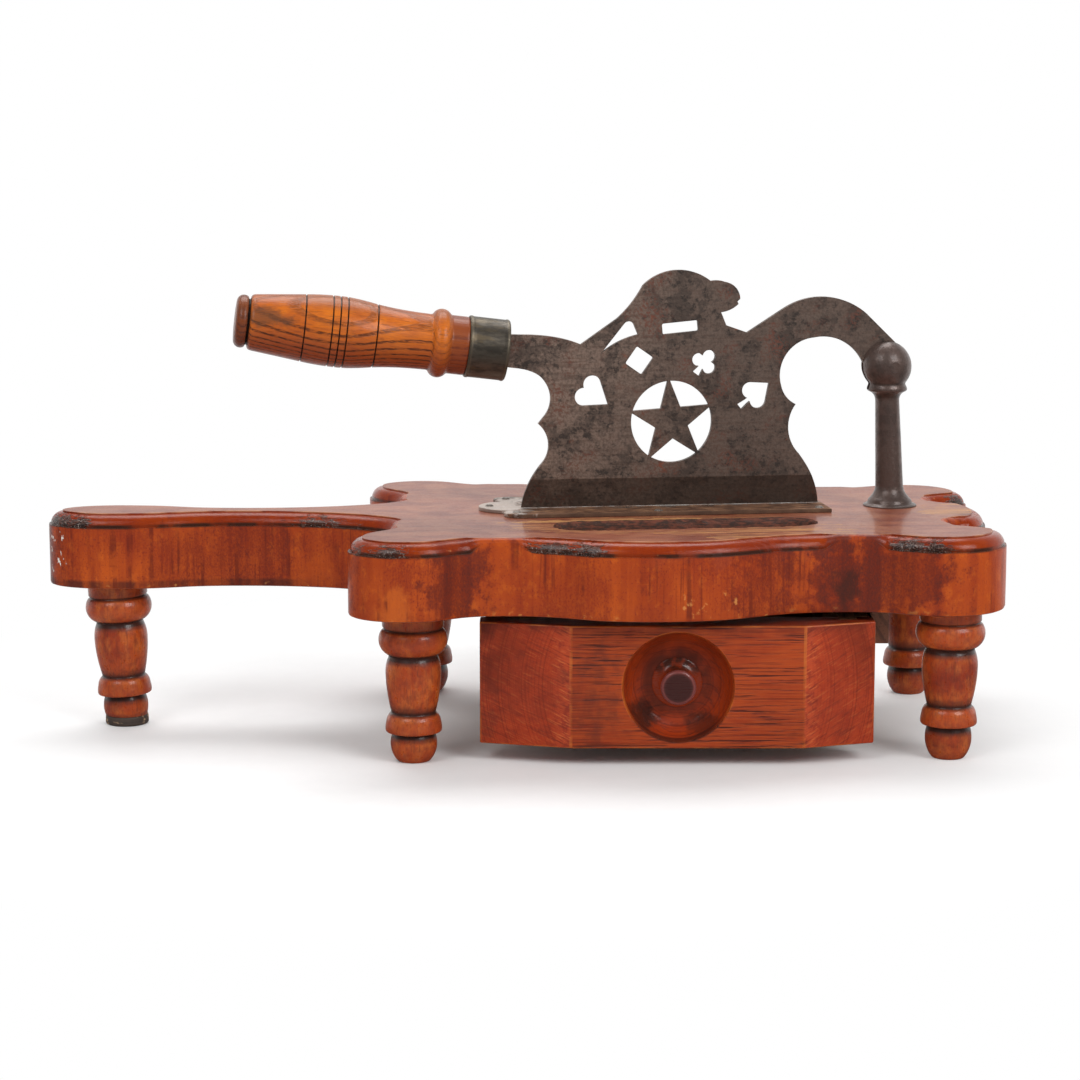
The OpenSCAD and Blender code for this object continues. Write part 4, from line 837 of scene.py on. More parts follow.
# %% Fastener iron
w = Finish("fastener_iron")
place = w.place
rust = w.effect("Iron patina", Place=w.stretched(place, (2, 2, 2)), Rust_Spread=0.45)
iron = w.coats(rust["Dark"], (0.30, 0.26, 0.23), (0.12, 0.10, 0.085))
iron.lay(w.times(rust["Rust"], 0.7), (0.17, 0.07, 0.035))
fastener_finish = w.surface(
    Base_Color=iron.colour,
    Metallic=0.6,
    Roughness=w.grade(rust["Pits"], 0.35, 0.65, 0.4, 0.6),
    Normal=w.bump(rust["Pits"], 0.0002, 0.4),
)

# %% Bed plate iron
PLATE_BLADE_LINE, PLATE_FRONT = -0.0115, -0.030
w = Finish("bed_plate_iron")
place = w.place
rust = w.effect("Iron patina", Place=place, Rust_Spread=0.5)
scuffs = w.noise(place, (40, 500, 40), 4.0, 0.6)
lobes = w.spot(place, (-0.190, 0.0, 0.0), (0.028, 0.05, 0.02))
iron = w.coats(w.grade(scuffs, 0.35, 0.65), (0.30, 0.24, 0.20), (0.16, 0.115, 0.09))
iron.lay(w.times(rust["Dark"], 0.7), (0.065, 0.036, 0.025))
iron.lay(w.times(rust["Rust"], 0.75), (0.17, 0.075, 0.035))
forward = w.axis(place, "Y")
creep = w.grade(w.noise(place, (90, 160, 90), 5.0, 0.68), 0.3, 0.7, -0.005, 0.005)
ragged = w.plus(forward, creep)
ahead = w.grade(ragged, PLATE_BLADE_LINE - 0.001, PLATE_BLADE_LINE + 0.003, 1.0, 0.0)
ahead = w.times(ahead, w.grade(lobes, 0.1, 0.5, 1.0, 0.0))
streaks = w.noise(place, (120, 230, 120), 5.0, 0.68)
rusty = w.coats(w.grade(streaks, 0.36, 0.60), (0.094, 0.048, 0.031), (0.235, 0.120, 0.068))
rusty.lay(w.grade(streaks, 0.60, 0.70, 0.0, 0.6), (0.44, 0.27, 0.145))
rusty.lay(w.grade(forward, PLATE_FRONT + 0.0006, PLATE_FRONT + 0.0016, 0.75, 0.0), (0.075, 0.042, 0.029))
iron.lay(ahead, rusty.colour)
iron.lay(w.grade(lobes, 0.3, 0.8, 0.0, 0.8), (0.49, 0.415, 0.365))
rusted = w.most(rust["Rust"], ahead)
dull = w.grade(rust["Pits"], 0.35, 0.65, 0.34, 0.55)
plate_finish = w.surface(
    Base_Color=iron.colour,
    Metallic=w.grade(rusted, 0.0, 1.0, 0.75, 0.0),
    Roughness=w.total((dull, 1), (ahead, 0.35)),
    Normal=w.bump(w.plus(rust["Pits"], scuffs), 0.0003, 0.4),
    Specular_IOR_Level=0.15,
)

# %% Ferrule bronze
w = Finish("ferrule_bronze")
place = w.place
dip = w.attribute("dip")
rust = w.effect("Iron patina", Place=w.stretched(place, (1, 1, 0.35)), Rust_Spread=0.45)
bronze = w.coats(rust["Dark"], (0.125, 0.106, 0.083), (0.066, 0.056, 0.045))
bronze.lay(w.times(rust["Rust"], 0.5), (0.14, 0.100, 0.052))
bronze.lay(w.grade(dip, -0.2, -0.8, 0.0, 0.5), (0.19, 0.155, 0.11))
ferrule_finish = w.surface(
    Base_Color=bronze.colour,
    Metallic=0.75,
    Roughness=w.grade(rust["Pits"], 0.35, 0.65, 0.38, 0.52),
    Normal=w.bump(rust["Pits"], 0.0002, 0.35),
)

# %% [markdown]
# ## Building meshes
# A few helpers do most of the shaping. A *turned mesh* is what a lathe makes: a profile spun round an axis,
# after its corners have been softened a little, as use does. *Cut* takes cutters away from a piece with
# Boolean modifiers, as a saw or a drill would. *Put in place* gives a mesh its finish, sets it on its body
# and hides the construction pieces that it stands for.

# %% Helpers for meshes
def put_in_place(mesh, finish, body, slot, *stands_for, place=Matrix()):
    """A piece of the cutter, named for the first construction node that it stands for."""
    piece = bpy.data.objects.new(stands_for[0] + "_dressed", mesh)
    scene.collection.objects.link(piece)
    piece.matrix_world = place
    mesh.materials.clear()
    mesh.materials.append(finish)
    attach(piece, body)
    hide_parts(*stands_for)
    print(piece.name, len(mesh.polygons), "faces")
    return piece


def smooth(mesh, crease=38):
    mesh.shade_smooth()
    mesh.set_sharp_from_angle(angle=math.radians(crease))
    return mesh


def mesh_from(name, points, faces, **marks):
    """A mesh from points in millimetres, with a named number on each point for each mark."""
    mesh = bpy.data.meshes.new(name)
    mesh.from_pydata([Vector(p) * MM for p in points], [], faces)
    for mark, values in marks.items():
        mesh.attributes.new(mark, "FLOAT", "POINT").data.foreach_set("value", values)
    mesh.validate()
    return mesh


def in_metres(place):
    """A placing in millimetres as one in metres."""
    return Matrix.Scale(MM, 4) @ place @ Matrix.Scale(1 / MM, 4)


def arc(a, m, b, n):
    """Points of the arc from a through m to b, without b."""
    (ax, ay), (mx, my), (bx, by) = a, m, b
    d = 2 * (ax * (my - by) + mx * (by - ay) + bx * (ay - my))
    a2, m2, b2 = ax * ax + ay * ay, mx * mx + my * my, bx * bx + by * by
    cx = (a2 * (my - by) + m2 * (by - ay) + b2 * (ay - my)) / d
    cy = (a2 * (bx - mx) + m2 * (ax - bx) + b2 * (mx - ax)) / d
    start, end = math.atan2(ay - cy, ax - cx), math.atan2(by - cy, bx - cx)
    r = math.hypot(ax - cx, ay - cy)
    left = (mx - ax) * (by - my) - (my - ay) * (bx - mx) > 0
    sweep = (end - start) % math.tau if left else -((start - end) % math.tau)
    turns = [start + sweep * i / n for i in range(n)]
    return [(cx + r * math.cos(t), cy + r * math.sin(t)) for t in turns]


def bow(a, c, b, n):
    """Points of a bow from a to b that is drawn towards c, without b."""
    points = []
    for t in (i / n for i in range(n)):
        points.append(tuple((1 - t) ** 2 * a[k] + 2 * t * (1 - t) * c[k] + t * t * b[k] for k in (0, 1)))
    return points


def ring(centre, r, start, end, n):
    """Points of a circle from one angle to another, in degrees, with both ends."""
    turns = [math.radians(start + (end - start) * i / n) for i in range(n + 1)]
    return [(centre[0] + r * math.cos(t), centre[1] + r * math.sin(t)) for t in turns]


print("shaping helpers ready")

# %% A lathe
DIP_REACH, DIP_FULL = 3.0, 1.6


def softened(profile, step, passes):
    """The profile again with even steps and its corners worn round. Its two ends stay."""
    walked = [0.0]
    for (r0, h0), (r1, h1) in zip(profile, profile[1:]):
        walked.append(walked[-1] + math.hypot(r1 - r0, h1 - h0))
    count = max(3, round(walked[-1] / step))
    even, k = [], 0
    for i in range(count + 1):
        at = walked[-1] * i / count
        while k < len(profile) - 2 and walked[k + 1] < at:
            k += 1
        t = (at - walked[k]) / max(1e-9, walked[k + 1] - walked[k])
        even.append(tuple(profile[k][j] + (profile[k + 1][j] - profile[k][j]) * t for j in (0, 1)))
    for _ in range(passes):
        inner = [
            tuple((a[j] + 2 * b[j] + c[j]) / 4 for j in (0, 1)) for a, b, c in zip(even, even[1:], even[2:])
        ]
        even = [even[0], *inner, even[-1]]
    return even


def dips(profile, reach=DIP_REACH):
    """How deep each point of a profile lies below its neighbours: 1 in a groove, -1 on a proud edge."""
    depths = []
    for r, h in profile:
        near = [q for q, k in profile if abs(k - h) < reach and q > 0.5]
        depths.append(max(-1.0, min(1.0, (sum(near) / max(1, len(near)) - r) / DIP_FULL)))
    return depths


def turned_mesh(name, profile, around, depths=None, waver=0.0, seed=0.0, closed=False):
    """A profile of (radius, height) in millimetres, turned round Z. Closed joins its end to its start."""
    depths = depths or dips(profile)
    points, marks, rows = [], [], []
    for (r, h), depth in zip(profile, depths):
        row = []
        for i in range(1 if r < 0.01 else around):
            t = math.tau * i / around
            uneven = noise.noise(Vector((math.cos(t) * 1.3, math.sin(t) * 1.3, h * 0.07 + seed)))
            k = r * (1 - waver * (0.5 + 0.5 * uneven))
            row.append(len(points))
            points.append((k * math.cos(t), k * math.sin(t), h))
            marks.append(depth)
        rows.append(row)
    faces = []
    for low, high in zip(rows, rows[1:] + (rows[:1] if closed else [])):
        for i in range(around):
            k = (i + 1) % around
            if len(low) == len(high) == around:
                faces.append((low[i], low[k], high[k], high[i]))
            elif len(high) == around:
                faces.append((low[0], high[k], high[i]))
            elif len(low) == around:
                faces.append((low[i], low[k], high[0]))
    return smooth(mesh_from(name, points, faces, dip=marks))


print("lathe ready")

# %% A saw and a drill
def settled(piece):
    """The mesh of a piece with its modifiers or its curve worked out. The piece itself is taken away."""
    graph = bpy.context.evaluated_depsgraph_get()
    shown = piece.evaluated_get(graph)
    mesh = bpy.data.meshes.new_from_object(shown, preserve_all_data_layers=True, depsgraph=graph)
    bpy.data.objects.remove(piece)
    return mesh


def cut(mesh, *cutters):
    """The mesh with the cutters' meshes taken away."""
    block = bpy.data.objects.new("block", mesh)
    scene.collection.objects.link(block)
    tools = []
    for cutter in cutters:
        tool = bpy.data.objects.new("cutter", cutter)
        scene.collection.objects.link(tool)
        taking = block.modifiers.new("cut", "BOOLEAN")
        taking.operation, taking.solver, taking.object = "DIFFERENCE", "EXACT", tool
        tools.append(tool)
    made = settled(block)
    for tool in tools:
        bpy.data.objects.remove(tool)
    return made


def edit_of(mesh):
    shaper = bmesh.new()
    shaper.from_mesh(mesh)
    return shaper


def without_idle_points(mesh):
    """The mesh without points that only two edges meet at, as cuts leave them along a straight rim."""
    shaper = edit_of(mesh)
    idle = [v for v in shaper.verts if len(v.link_edges) == 2]
    for v in idle:
        bmesh.utils.vert_collapse_edge(v, v.link_edges[0])
    print("idle points taken out:", len(idle))
    return write_back(shaper, mesh)


def box_mesh(low, high):
    """A block between two corners in millimetres."""
    shaper = bmesh.new()
    bmesh.ops.create_cube(shaper, size=1)
    size, middle = Vector(high) - Vector(low), (Vector(high) + Vector(low)) / 2
    for v in shaper.verts:
        v.co = Vector((v.co.x * size.x, v.co.y * size.y, v.co.z * size.z)) + middle
    bmesh.ops.scale(shaper, vec=(MM, MM, MM), verts=shaper.verts)
    return write_back(shaper, bpy.data.meshes.new("block"))


def loft_mesh(name, rows, **marks):
    """Closed rings of equally many points, joined by quads and closed with a face at each end."""
    count = len(rows[0])
    points = [p for row in rows for p in row]
    faces = [
        (r * count + i, r * count + (i + 1) % count, (r + 1) * count + (i + 1) % count, (r + 1) * count + i)
        for r in range(len(rows) - 1)
        for i in range(count)
    ]
    last = (len(rows) - 1) * count
    faces.append(tuple(reversed(range(count))))
    faces.append(tuple(range(last, last + count)))
    return mesh_from(name, points, faces, **marks)


print("cutters ready")

# %% [markdown]
# ## The board
# The outline is a chain of smooth spans between knots, the same on both sides: tongue, throat, four lobes,
# two bulges and the tail. A cutter ran along the top edge and left a rounded moulding with a small step
# under it, but it was lifted before each cove, so the moulding fades out there. Each point of the outline
# therefore carries its share of moulding, and its section is drawn for that share. Dirt thickens the
# moulding in places, which is modelled as small lumps and marked, so that the finish can blacken it.

# %% Outline of the board
BOARD_LOW, BOARD_THICK = 68.0, 35.0
BOARD_TOP = BOARD_LOW + BOARD_THICK
TIP, END, BODY = -221.0, 221.0, -74.5
EDGE_STEP = 1.2
KNOT_PULL = 0.55
STOP_FROM, STOP_TO = 5.0, 11.5
KNOTS = [
    ((TIP, 0), (0, 1), True),
    ((TIP + 31, 19.5), (1, 0), True),
    ((TIP + 92, 11), (1, 0), True),
    ((BODY + 17.5, 41), (0, 1), False),
    ((BODY, 83), (0, 1), True),
    ((BODY + 25.5, 104), (1, 0), True),
    ((BODY + 67.5, 89), (1, 0), False),
    ((BODY + 134.5, 103), (1, 0), True),
    ((END - 69, 79), (1, 0), False),
    ((END - 28, 89.5), (1, 0), True),
    ((END, 60.5), (0, -1), True),
    ((END - 23, 34), (0, -1), False),
    ((END - 13, 27.5), (1, 0), True),
    ((END - 0.5, 0), (0, -1), True),
]


def eased(t):
    t = min(1.0, max(0.0, t))
    return t * t * (3 - 2 * t)


def outline():
    """The board's outline as (point, inward direction, share of moulding), once round."""
    half = []
    for (a, da, whole_a), (b, db, whole_b) in zip(KNOTS, KNOTS[1:]):
        a, b, da, db = Vector(a), Vector(b), Vector(da), Vector(db)
        ca = a + da * abs((b - a).dot(da)) * KNOT_PULL
        cb = b - db * abs((b - a).dot(db)) * KNOT_PULL
        span = (b - a).length
        count = max(6, round(span / EDGE_STEP))
        for j in range(count):
            t = j / count
            u = 1 - t
            point = u**3 * a + 3 * u * u * t * ca + 3 * u * t * t * cb + t**3 * b
            slope = u * u * (ca - a) + 2 * u * t * (cb - ca) + t * t * (b - cb)
            share = 1.0 if whole_a else eased((t * span - STOP_FROM) / (STOP_TO - STOP_FROM))
            share *= 1.0 if whole_b else eased((u * span - STOP_FROM) / (STOP_TO - STOP_FROM))
            half.append((point, Vector((slope.y, -slope.x)).normalized(), share))
    tail = (Vector(KNOTS[-1][0]), Vector((-1, 0)), 1.0)
    other = [(Vector((p.x, -p.y)), Vector((d.x, -d.y)), share) for p, d, share in reversed(half[1:])]
    return half + [tail] + other


edge = outline()
print("points round the board:", len(edge))

# %% Section of the board's edge
MOULD_R, SOFT_R = 5.5, 2.6
MOULD_STEP, SOFT_STEP = 0.9, 0.2
MOULD_DROP, SOFT_DROP = 0.7, 0.1
UNDER_R = 1.3
OVOLO_TURNS = [0, 8, 18, 30, 42, 54, 66, 78, 90]
GRIME_PLACES = [
    (-63, -88, 12), (-54, -99, 10), (14, -99, 17), (30, -101, 10), (172, -88, 13), (186, -86, 9),
    (-216, -12, 12), (-95, -24, 16), (-80, -30, 10), (-205, -18, 8), (-66, 88, 12), (-40, 103, 10),
    (60, 102, 14), (184, 88, 14), (218, -48, 8), (216, 52, 8), (-110, 16, 14), (-200, 19, 10),
]


def edge_section(share):
    """Points from underside to top as (inset, height, how far across), for a share of the moulding."""
    r = SOFT_R + (MOULD_R - SOFT_R) * share
    step = SOFT_STEP + (MOULD_STEP - SOFT_STEP) * share
    high = BOARD_THICK - SOFT_DROP - (MOULD_DROP - SOFT_DROP) * share
    foot = high - r
    rows = [(UNDER_R, 0, 0.0), (UNDER_R * 0.3, UNDER_R * 0.3, 0.07), (0, UNDER_R, 0.1)]
    rows += [(0, UNDER_R + (foot - UNDER_R) * t, 0.1 + 0.38 * t) for t in (0.25, 0.5, 0.75, 0.97)]
    rows += [(0.12, foot - 0.05, 0.5), (step * 0.85, foot, 0.51), (step, foot + 0.15, 0.53)]
    for turn in OVOLO_TURNS[1:]:
        t = math.radians(turn)
        rows.append((step + r * (1 - math.cos(t)), high - r * (1 - math.sin(t)), 0.55 + 0.35 * turn / 90))
    return rows + [(step + r + 0.05, BOARD_THICK - 0.12, 0.95), (step + r + 0.25, BOARD_THICK, 1.0)]


def grime_at(p):
    """How thick the old dirt lies in the moulding near a point of the outline."""
    return max(eased(1 - math.hypot(p.x - x, p.y - y) / (1.5 * reach)) for x, y, reach in GRIME_PLACES)


sections = [edge_section(share) for _, _, share in edge]
rows, marks = [], {"across": [], "moulded": [], "grime": []}
for r in range(len(sections[0])):
    row = []
    for (p, inward, share), section in zip(edge, sections):
        inset, high, across = section[r]
        on_mould = 0.5 <= across < 0.94
        dirt = grime_at(p) * share if on_mould else 0.0
        lump = noise.noise(Vector((p.x * 0.55, p.y * 0.55, high * 0.7)))
        worn = noise.noise(Vector((p.x * 0.09 + 9, p.y * 0.09, high * 0.05)))
        inset += 0.12 + 0.12 * worn + (0.22 + 0.22 * lump) * dirt * (across > 0.52)
        spot = p + inward * inset
        row.append((spot.x, spot.y, BOARD_LOW + high))
        for mark, value in (("across", across), ("moulded", share), ("grime", dirt)):
            marks[mark].append(value)
    rows.append(row)
blank = loft_mesh("base_board", [list(reversed(row)) for row in rows])
for mark, values in marks.items():
    count = len(edge)
    turned = [v for r in range(len(rows)) for v in reversed(values[r * count : (r + 1) * count])]
    at_corners = [turned[corner.vertex_index] for corner in blank.loops]
    blank.attributes.new(mark, "FLOAT", "CORNER").data.foreach_set("value", at_corners)
print("board blank:", len(blank.polygons), "faces")

# %% [markdown]
# ### Slot, mortises and recess
# The tobacco falls through a long slot in front of the blade. Its upper rim is torn and worn by the knife,
# so its cutter flares and wavers near the top. Four straight mortises take the leg tenons, a leaning one
# takes the tongue leg's, and a round recess below hides the nut of the post.

# %% Cut the board
POST_PLACE = Matrix.Translation((POST_X, POST_Y, 0)) @ Matrix.Rotation(CUT_TURN, 4, "Z")
SLOT_MIDDLE, SLOT_LEN, SLOT_WIDE = (-105.7, -45.0), 118.0, 24.0
SLOT_LEVELS = [
    (67, 0.2, 0.2), (80, 0.2, 0.6), (96, 0.3, 0.9), (100.5, 0.6, 1.0), (102.2, 1.4, 1.5), (103.6, 3.2, 2.4),
]
MORTISE_R, MORTISE_TOP = 7.1, 90.5
RECESS_R, RECESS_TOP = 11, 77
DRILL_FROM = BOARD_LOW - 1
LEG_PLACES = {
    "leg_front_left": (-46.0, -75.9), "leg_back_left": (-46.0, 75.9),
    "leg_front_right": (195.5, -69.5), "leg_back_right": (195.5, 69.5),
}
TONGUE_LEG_X, TONGUE_LEAN = -189.6, math.radians(2.8)
TONGUE_PLACE = (
    Matrix.Translation((TONGUE_LEG_X, 0, BOARD_LOW))
    @ Matrix.Rotation(-TONGUE_LEAN, 4, "Y")
    @ Matrix.Translation((0, 0, -BOARD_LOW))
)


def slot_ring(z, flare, ragged):
    """The slot's outline at a height, widened and torn."""
    reach = (SLOT_LEN - SLOT_WIDE) / 2
    loop = []
    for side, start in ((1, -90), (-1, 90)):
        loop += ring((side * reach, 0), SLOT_WIDE / 2, start, start + 180, 24)
        loop += [(side * (reach - 2 * reach * i / 60), side * SLOT_WIDE / 2) for i in range(1, 60)]
    out = []
    for x, y in loop:
        tear = 0.5 + 0.5 * noise.noise(Vector((x * 0.16, y * 0.3, z * 0.05)))
        fray = 0.5 + 0.5 * noise.noise(Vector((x * 0.8, y * 0.8, z * 0.4)))
        away = flare * tear + ragged * fray
        length = math.hypot(max(0.0, abs(x) - reach), y)
        k = 1 + away / max(1.0, length)
        px = math.copysign(reach + (abs(x) - reach) * k, x) if abs(x) > reach else x
        out.append(POST_PLACE @ Vector((SLOT_MIDDLE[0] + px, SLOT_MIDDLE[1] + y * k, z)))
    return out


slot_cutter = loft_mesh("slot", [slot_ring(*level) for level in SLOT_LEVELS])
mortises = bmesh.new()


def drill(place, radius, high):
    """Adds a round cutter that goes up into the board from below to a height."""
    middle = place @ Matrix.Translation((0, 0, (DRILL_FROM + high) / 2))
    bmesh.ops.create_cone(
        mortises, cap_ends=True, segments=40, radius1=radius, radius2=radius, depth=high - DRILL_FROM,
        matrix=Matrix.Scale(MM, 4) @ middle,
    )


for x, y in LEG_PLACES.values():
    drill(Matrix.Translation((x, y, 0)), MORTISE_R, MORTISE_TOP)
drill(TONGUE_PLACE, MORTISE_R, MORTISE_TOP)
drill(POST_PLACE, RECESS_R, RECESS_TOP)
drill_mesh = write_back(mortises, bpy.data.meshes.new("mortises"))
board_mesh = smooth(without_idle_points(cut(blank, slot_cutter, drill_mesh)), 30)
board = put_in_place(board_mesh, board_finish, "base", "varnished_wood", "base_board")
print("board box:", [round(v / MM, 1) for v in board.dimensions])

# %% [markdown]
# ## Legs and pad
# Each leg is turned between centres: a foot like a flattened ball, a collar with a square lower edge, an
# urn-shaped barrel, a bead, and a plain cap under the board, with a tenon above. Beads could be stacked
# from spheres and cylinders, but one profile keeps the small grooves between them crisp. No two legs are
# quite the same, so each is turned a little unevenly. The tongue leg leans, and its ends are cut level.

# %% Leg profile
FOOT_H, COLLAR_H, BARREL_H, BEAD_H = 13.4, 8.8, 26.4, 11.8
FOOT_R, COLLAR_R, BARREL_R, BEAD_R, CAP_R, TENON_R = 10.45, 12.8, 12.6, 15.7, 14.0, 7.0
NECK_R, WAIST_R, TENON_TOP = 10.9, 10.0, 90
barrel_z = FOOT_H + COLLAR_H
bead_z = barrel_z + BARREL_H
cap_z = bead_z + BEAD_H
leg_line = [
    (0, 0),
    *arc((7.2, 0), (FOOT_R, 6.4), (9.3, FOOT_H), 16),
    (9.3, FOOT_H), (COLLAR_R - 0.5, FOOT_H + 0.1), (COLLAR_R - 0.1, FOOT_H + 0.4),
    *arc((COLLAR_R, FOOT_H + 0.7), (COLLAR_R, FOOT_H + 2.6), (COLLAR_R - 0.4, FOOT_H + 4.6), 6),
    *arc((COLLAR_R - 0.4, FOOT_H + 4.6), (COLLAR_R - 1.1, barrel_z - 1.6), (WAIST_R + 0.4, barrel_z), 8),
    *bow((WAIST_R, barrel_z), (BARREL_R - 0.1, barrel_z + 10), (BARREL_R, bead_z - 9.2), 20),
    *arc((BARREL_R, bead_z - 9.2), (BARREL_R - 0.4, bead_z - 4), (NECK_R, bead_z - 0.2), 12),
    (NECK_R, bead_z), (NECK_R + 0.6, bead_z + 0.1),
    *arc((NECK_R + 0.7, bead_z + 0.3), (BEAD_R, bead_z + 7), (CAP_R - 0.1, cap_z), 18),
    (CAP_R - 0.7, cap_z), (CAP_R - 0.7, cap_z + 0.7), (CAP_R, cap_z + 1.0), (CAP_R, BOARD_LOW),
]
leg_line = softened(leg_line, 0.55, 1)
tenon = [(TENON_R, BOARD_LOW), (TENON_R, TENON_TOP - 0.8), (TENON_R - 0.8, TENON_TOP), (0, TENON_TOP)]
print("points in the leg profile:", len(leg_line))

# %% Turn the legs
LEG_DIP_REACH = 6.0
LEG_AROUND, LEG_WAVER = 64, 0.014
LEG_LIFTS = {"leg_front_right": 2.0, "leg_back_right": 0.9, "leg_back_left": 0.5, "leg_tongue": 1.2}


def lifted(profile, lift):
    """The profile with its beads set higher, so that its foot is longer and its cap shorter."""
    cap = BOARD_LOW - cap_z
    return [(r, h + lift * min(1.0, h / FOOT_H, (BOARD_LOW - h) / cap)) for r, h in profile]


def turned_leg(name, line, seed):
    depths = dips(line, LEG_DIP_REACH) + [0.0] * len(tenon)
    return turned_mesh(name, line + tenon, LEG_AROUND, depths, LEG_WAVER, seed)


for number, (name, (x, y)) in enumerate(LEG_PLACES.items()):
    mesh = turned_leg(name, lifted(leg_line, LEG_LIFTS.get(name, 0.0)), number * 3.7)
    mesh.transform(Matrix.Translation((x * MM, y * MM, 0)))
    put_in_place(mesh, leg_finish, "base", "varnished_wood", name)

# %% Turn the tongue leg and its pad
PAD_THICK, PAD_R, PAD_X = 4.6, 10.4, -186.274
above_pad = [p for p in lifted(leg_line, LEG_LIFTS["leg_tongue"]) if p[1] > PAD_THICK + 0.3]
mesh = turned_leg("leg_tongue", [(0, PAD_THICK), (above_pad[0][0], PAD_THICK), *above_pad], 20.0)
for v in mesh.vertices:
    r, h = math.hypot(v.co.x, v.co.y) / MM, v.co.z / MM
    on_foot = h < PAD_THICK + 0.01
    under_board = abs(h - BOARD_LOW) < 0.01 and r > TENON_R + 0.3
    if on_foot or under_board:
        level = PAD_THICK if on_foot else BOARD_LOW
        rise = (level - BOARD_LOW - v.co.x / MM * math.sin(TONGUE_LEAN)) / math.cos(TONGUE_LEAN)
        v.co.z = (BOARD_LOW + rise) * MM
mesh.transform(in_metres(TONGUE_PLACE))
put_in_place(mesh, leg_finish, "base", "varnished_wood", "leg_tongue")

pad_line = [
    (0, 0), (PAD_R - 0.6, 0), (PAD_R, 0.6),
    (PAD_R - 0.1, PAD_THICK - 0.5), (PAD_R - 0.6, PAD_THICK), (0, PAD_THICK),
]
mesh = turned_mesh("foot_pad", softened(pad_line, 0.5, 1), 64, None, 0.05, 5.0)
mesh.transform(Matrix.Translation((PAD_X * MM, 0, 0)))
put_in_place(mesh, pad_finish, "base", "dark_wood", "foot_pad")

# %% [markdown]
# ## Sheet iron: bed plate and blade
# Both are cut from sheet, so both start as flat curves with holes. A filled 2D curve can be given its
# thickness and a small rounding of its edges at once, which is how a filed edge catches the light.
# The plate ends in three lobes; the blade carries a beast's outline, the four suits, a bar, a drop and a
# star in a ring. Its lower edge is then ground to one side by moving the points below the bevel line.

# %% Cut shapes from sheet
def sheet_mesh(name, loops, thick, rounding):
    """A sheet standing in the XZ plane, cut to its outline and its holes, all in millimetres."""
    curve = bpy.data.curves.new(name, "CURVE")
    curve.dimensions, curve.fill_mode = "2D", "BOTH"
    curve.extrude = (thick / 2 - rounding) * MM
    curve.bevel_depth, curve.bevel_resolution, curve.offset = rounding * MM, 2, -rounding * MM
    for loop in loops:
        line = curve.splines.new("POLY")
        line.points.add(len(loop) - 1)
        for point, (x, y) in zip(line.points, loop):
            point.co = (x * MM, y * MM, 0, 1)
        line.use_cyclic_u = True
    maker = bpy.data.objects.new(name, curve)
    scene.collection.objects.link(maker)
    mesh = settled(maker)
    shaper = edit_of(mesh)
    bmesh.ops.remove_doubles(shaper, verts=shaper.verts, dist=0.002 * MM)
    bmesh.ops.rotate(shaper, verts=shaper.verts, matrix=Matrix.Rotation(math.pi / 2, 3, "X"))
    bmesh.ops.recalc_face_normals(shaper, faces=shaper.faces)
    return write_back(shaper, mesh)


def steady(piece):
    """Keeps the shading of large flat faces flat beside small rounded edges."""
    piece.modifiers.new("flat faces", "WEIGHTED_NORMAL").keep_sharp = True


print("sheet shears ready")

# %% Bed plate
PLATE_NEAR, PLATE_BACK, PLATE_LEN, PLATE_WIDE, PLATE_THICK = -31.4, 10, 163.0, 60.0, 1.8
PLATE_FILED, PLATE_SOFT = 0.7, 0.35
LOBE_R, SIDE_LOBE_R, LOBE_STEP = 15.0, 8.0, 2.4
lobe_x = PLATE_NEAR - PLATE_LEN + LOBE_R
side_x, side_y = lobe_x + LOBE_STEP, PLATE_WIDE / 2 - SIDE_LOBE_R
span = math.hypot(LOBE_STEP, side_y)
toward = math.degrees(math.atan2(side_y, LOBE_STEP))
open_mid = math.degrees(math.acos((span**2 + LOBE_R**2 - SIDE_LOBE_R**2) / (2 * span * LOBE_R)))
open_side = math.degrees(math.acos((span**2 + SIDE_LOBE_R**2 - LOBE_R**2) / (2 * span * SIDE_LOBE_R)))
upper = [(PLATE_NEAR, PLATE_WIDE / 2)]
upper += [(PLATE_NEAR + (side_x - PLATE_NEAR) * i / 50, PLATE_WIDE / 2) for i in range(1, 50)]
upper += ring((side_x, side_y), SIDE_LOBE_R, 90, 180 + toward - open_side, 24)
upper += ring((lobe_x, 0), LOBE_R, toward + open_mid, 180, 22)[1:]
plate_loop = upper + [(x, -y) for x, y in reversed(upper[:-1])]
plate_loop += [(PLATE_NEAR, PLATE_WIDE * (i / 24 - 0.5)) for i in range(1, 24)]


def filed(p):
    """A point of an outline, moved in a little towards the middle, as hand filing leaves it."""
    uneven = 0.5 + 0.5 * noise.noise(Vector((p[0] * 0.35, p[1] * 0.35, 3.0)))
    return (p[0], p[1] * (1 - PLATE_FILED * uneven / max(6.0, abs(p[1]))))


mesh = smooth(sheet_mesh("bed_plate", [[filed(p) for p in plate_loop]], PLATE_THICK, PLATE_SOFT))
mesh.transform(Matrix.Rotation(-math.pi / 2, 4, "X"))
plate_place = in_metres(POST_PLACE @ Matrix.Translation((0, PLATE_BACK, BOARD_TOP + PLATE_THICK / 2)))
steady(put_in_place(mesh, plate_finish, "base", "iron", "bed_plate", place=plate_place))

# %% Outline of the blade
EDGE_IN, EDGE_LEN = 33.5, 142.0
HEEL, TOE = (-EDGE_IN, EDGE_Y), (-EDGE_IN - EDGE_LEN, EDGE_Y)
EYE_R, PIN_R = 9.5, 2.55
HANDLE_ROOT, HANDLE_RISE = (-182.4, 9.2), math.radians(7)


